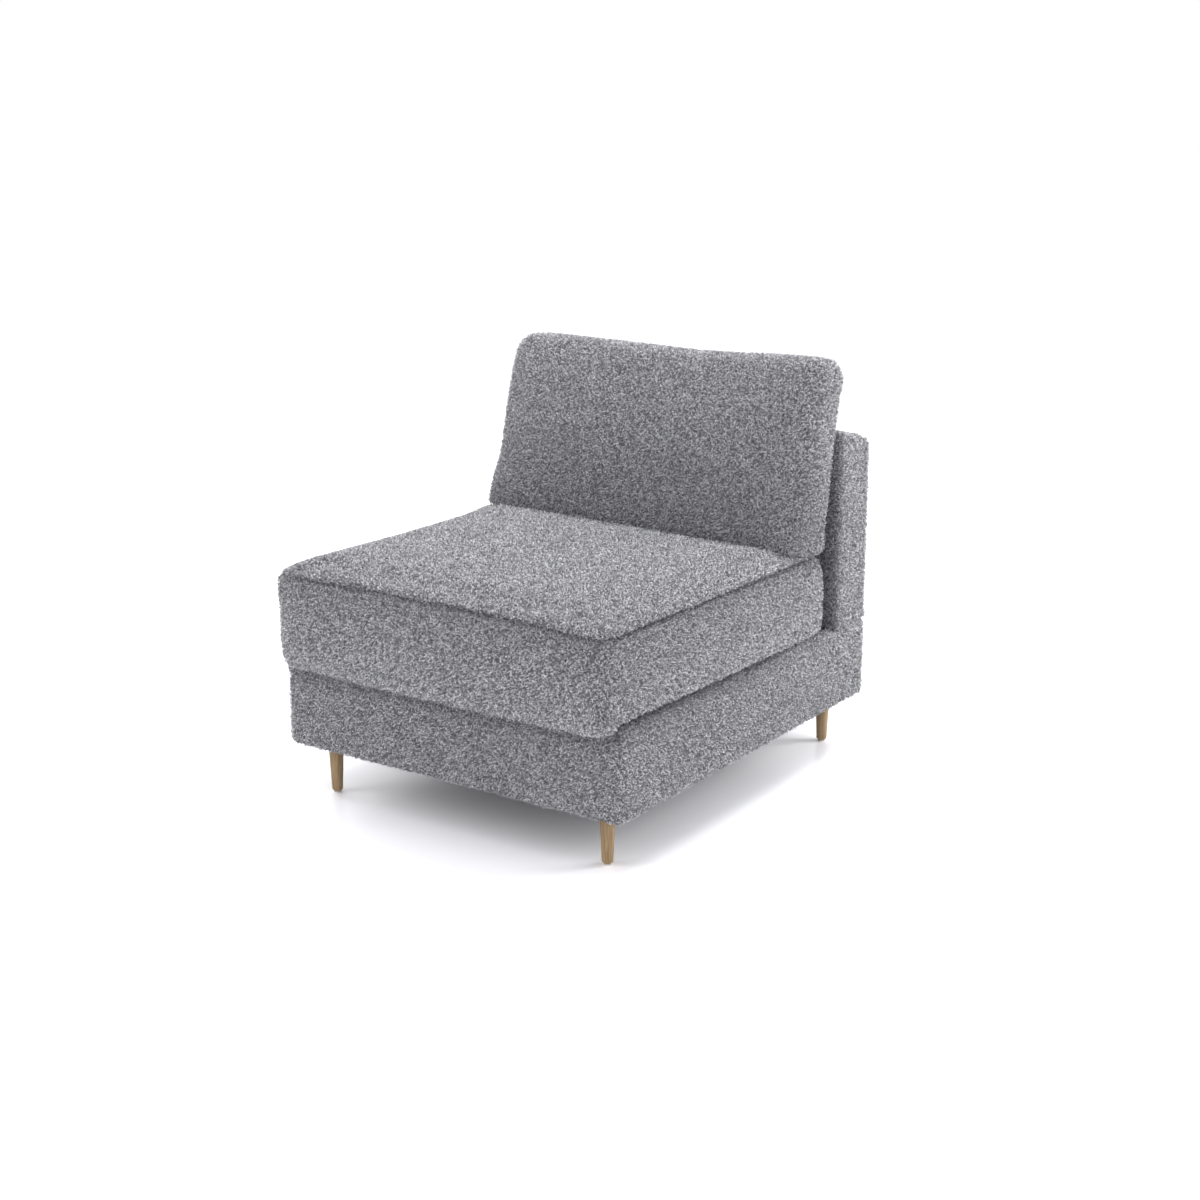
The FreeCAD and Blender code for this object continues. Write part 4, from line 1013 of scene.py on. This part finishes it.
def make_floor():
    """Pale floor, lifted towards white where the camera sees it."""
    corners = [(x * FLOOR_HALF, y * FLOOR_HALF, 0) for x, y in ((-1, -1), (1, -1), (1, 1), (-1, 1))]
    mesh = bpy.data.meshes.new("floor")
    mesh.from_pydata(corners, [], [(0, 1, 2, 3)])
    floor = bpy.data.objects.new("floor", mesh)
    bpy.context.scene.collection.objects.link(floor)
    material, tree, shader = new_material("floor")
    shader.inputs["Base Color"].default_value = FLOOR_COLOUR
    shader.inputs["Roughness"].default_value = 0.22
    shader.inputs["Specular IOR Level"].default_value = 0.35
    lift = shader_node(tree, "ShaderNodeBsdfDiffuse", Color=FLOOR_LIFT)
    both = tree.nodes.new("ShaderNodeAddShader")
    link(tree, shader.outputs[0], both.inputs[0])
    link(tree, lift.outputs[0], both.inputs[1])
    mix = tree.nodes.new("ShaderNodeMixShader")
    link(tree, tree.nodes.new("ShaderNodeLightPath").outputs["Is Camera Ray"], mix.inputs["Fac"])
    link(tree, shader.outputs[0], mix.inputs[1])
    link(tree, both.outputs[0], mix.inputs[2])
    link(tree, mix.outputs[0], tree.nodes["Material Output"].inputs["Surface"])
    floor.data.materials.append(material)


def make_world():
    """Even light all round, seen as white by the camera, in gloss and through glass."""
    world = bpy.data.worlds.new("studio")
    world.use_nodes = True
    bpy.context.scene.world = world
    tree = world.node_tree
    light = tree.nodes["Background"]
    light.inputs["Color"].default_value = WHITE
    light.inputs["Strength"].default_value = WORLD_STRENGTH
    white = shader_node(tree, "ShaderNodeBackground", Color=WHITE, Strength=1.0)
    path = tree.nodes.new("ShaderNodeLightPath")
    seen = math_node(tree, "MAXIMUM", path.outputs["Is Camera Ray"], path.outputs["Is Glossy Ray"])
    seen = math_node(tree, "MAXIMUM", seen, path.outputs["Is Transmission Ray"])
    mix = tree.nodes.new("ShaderNodeMixShader")
    link(tree, seen, mix.inputs["Fac"])
    link(tree, light.outputs[0], mix.inputs[1])
    link(tree, white.outputs[0], mix.inputs[2])
    link(tree, mix.outputs[0], tree.nodes["World Output"].inputs["Surface"])


def soft_lamp(name, place, aim, size, watts):
    """Round area lamp at place that points at aim."""
    data = bpy.data.lights.new(name, "AREA")
    data.shape = "DISK"
    data.size = size
    data.energy = watts
    lamp = bpy.data.objects.new(name, data)
    lamp.location = place
    lamp.rotation_euler = (Vector(aim) - Vector(place)).to_track_quat("-Z", "Y").to_euler()
    bpy.context.scene.collection.objects.link(lamp)


def make_camera():
    """Camera at the photograph's viewing angle."""
    camera = bpy.data.objects.new("camera", bpy.data.cameras.new("camera"))
    camera.data.lens = 69.0
    camera.data.sensor_width = 36.0
    camera.data.clip_end = 50
    yaw, pitch = CAMERA_YAW, CAMERA_PITCH
    ahead = Vector((-math.sin(yaw) * math.cos(pitch), math.cos(yaw) * math.cos(pitch), -math.sin(pitch)))
    right = Vector((math.cos(yaw), math.sin(yaw), 0))
    above = right.cross(ahead)
    turn = Matrix((right, above, -ahead)).transposed()
    camera.matrix_world = Matrix.Translation(CAMERA_PLACE) @ turn.to_4x4()
    bpy.context.scene.collection.objects.link(camera)
    bpy.context.scene.camera = camera
    bpy.context.scene.view_settings.view_transform = "Standard"


seat_cushion()
back_cushion()
base()
back()
make_floor()
make_world()
soft_lamp("key", place=(2.0, 1.7, 1.0), aim=(0.2, 0.3, 0.3), size=1.3, watts=34)
soft_lamp("front", place=(-2.3, -2.6, 1.9), aim=(0, 0, 0.35), size=1.8, watts=25)
soft_lamp("fill", place=(-2.6, 0.6, 1.6), aim=(0, 0, 0.4), size=1.6, watts=20)
soft_lamp("top", place=(0.3, 1.0, 2.8), aim=(0, 0, 0.3), size=1.8, watts=32)
soft_lamp("overhead", place=(0.0, -1.3, 3.2), aim=(0, -0.5, 0), size=2.6, watts=16)
make_camera()
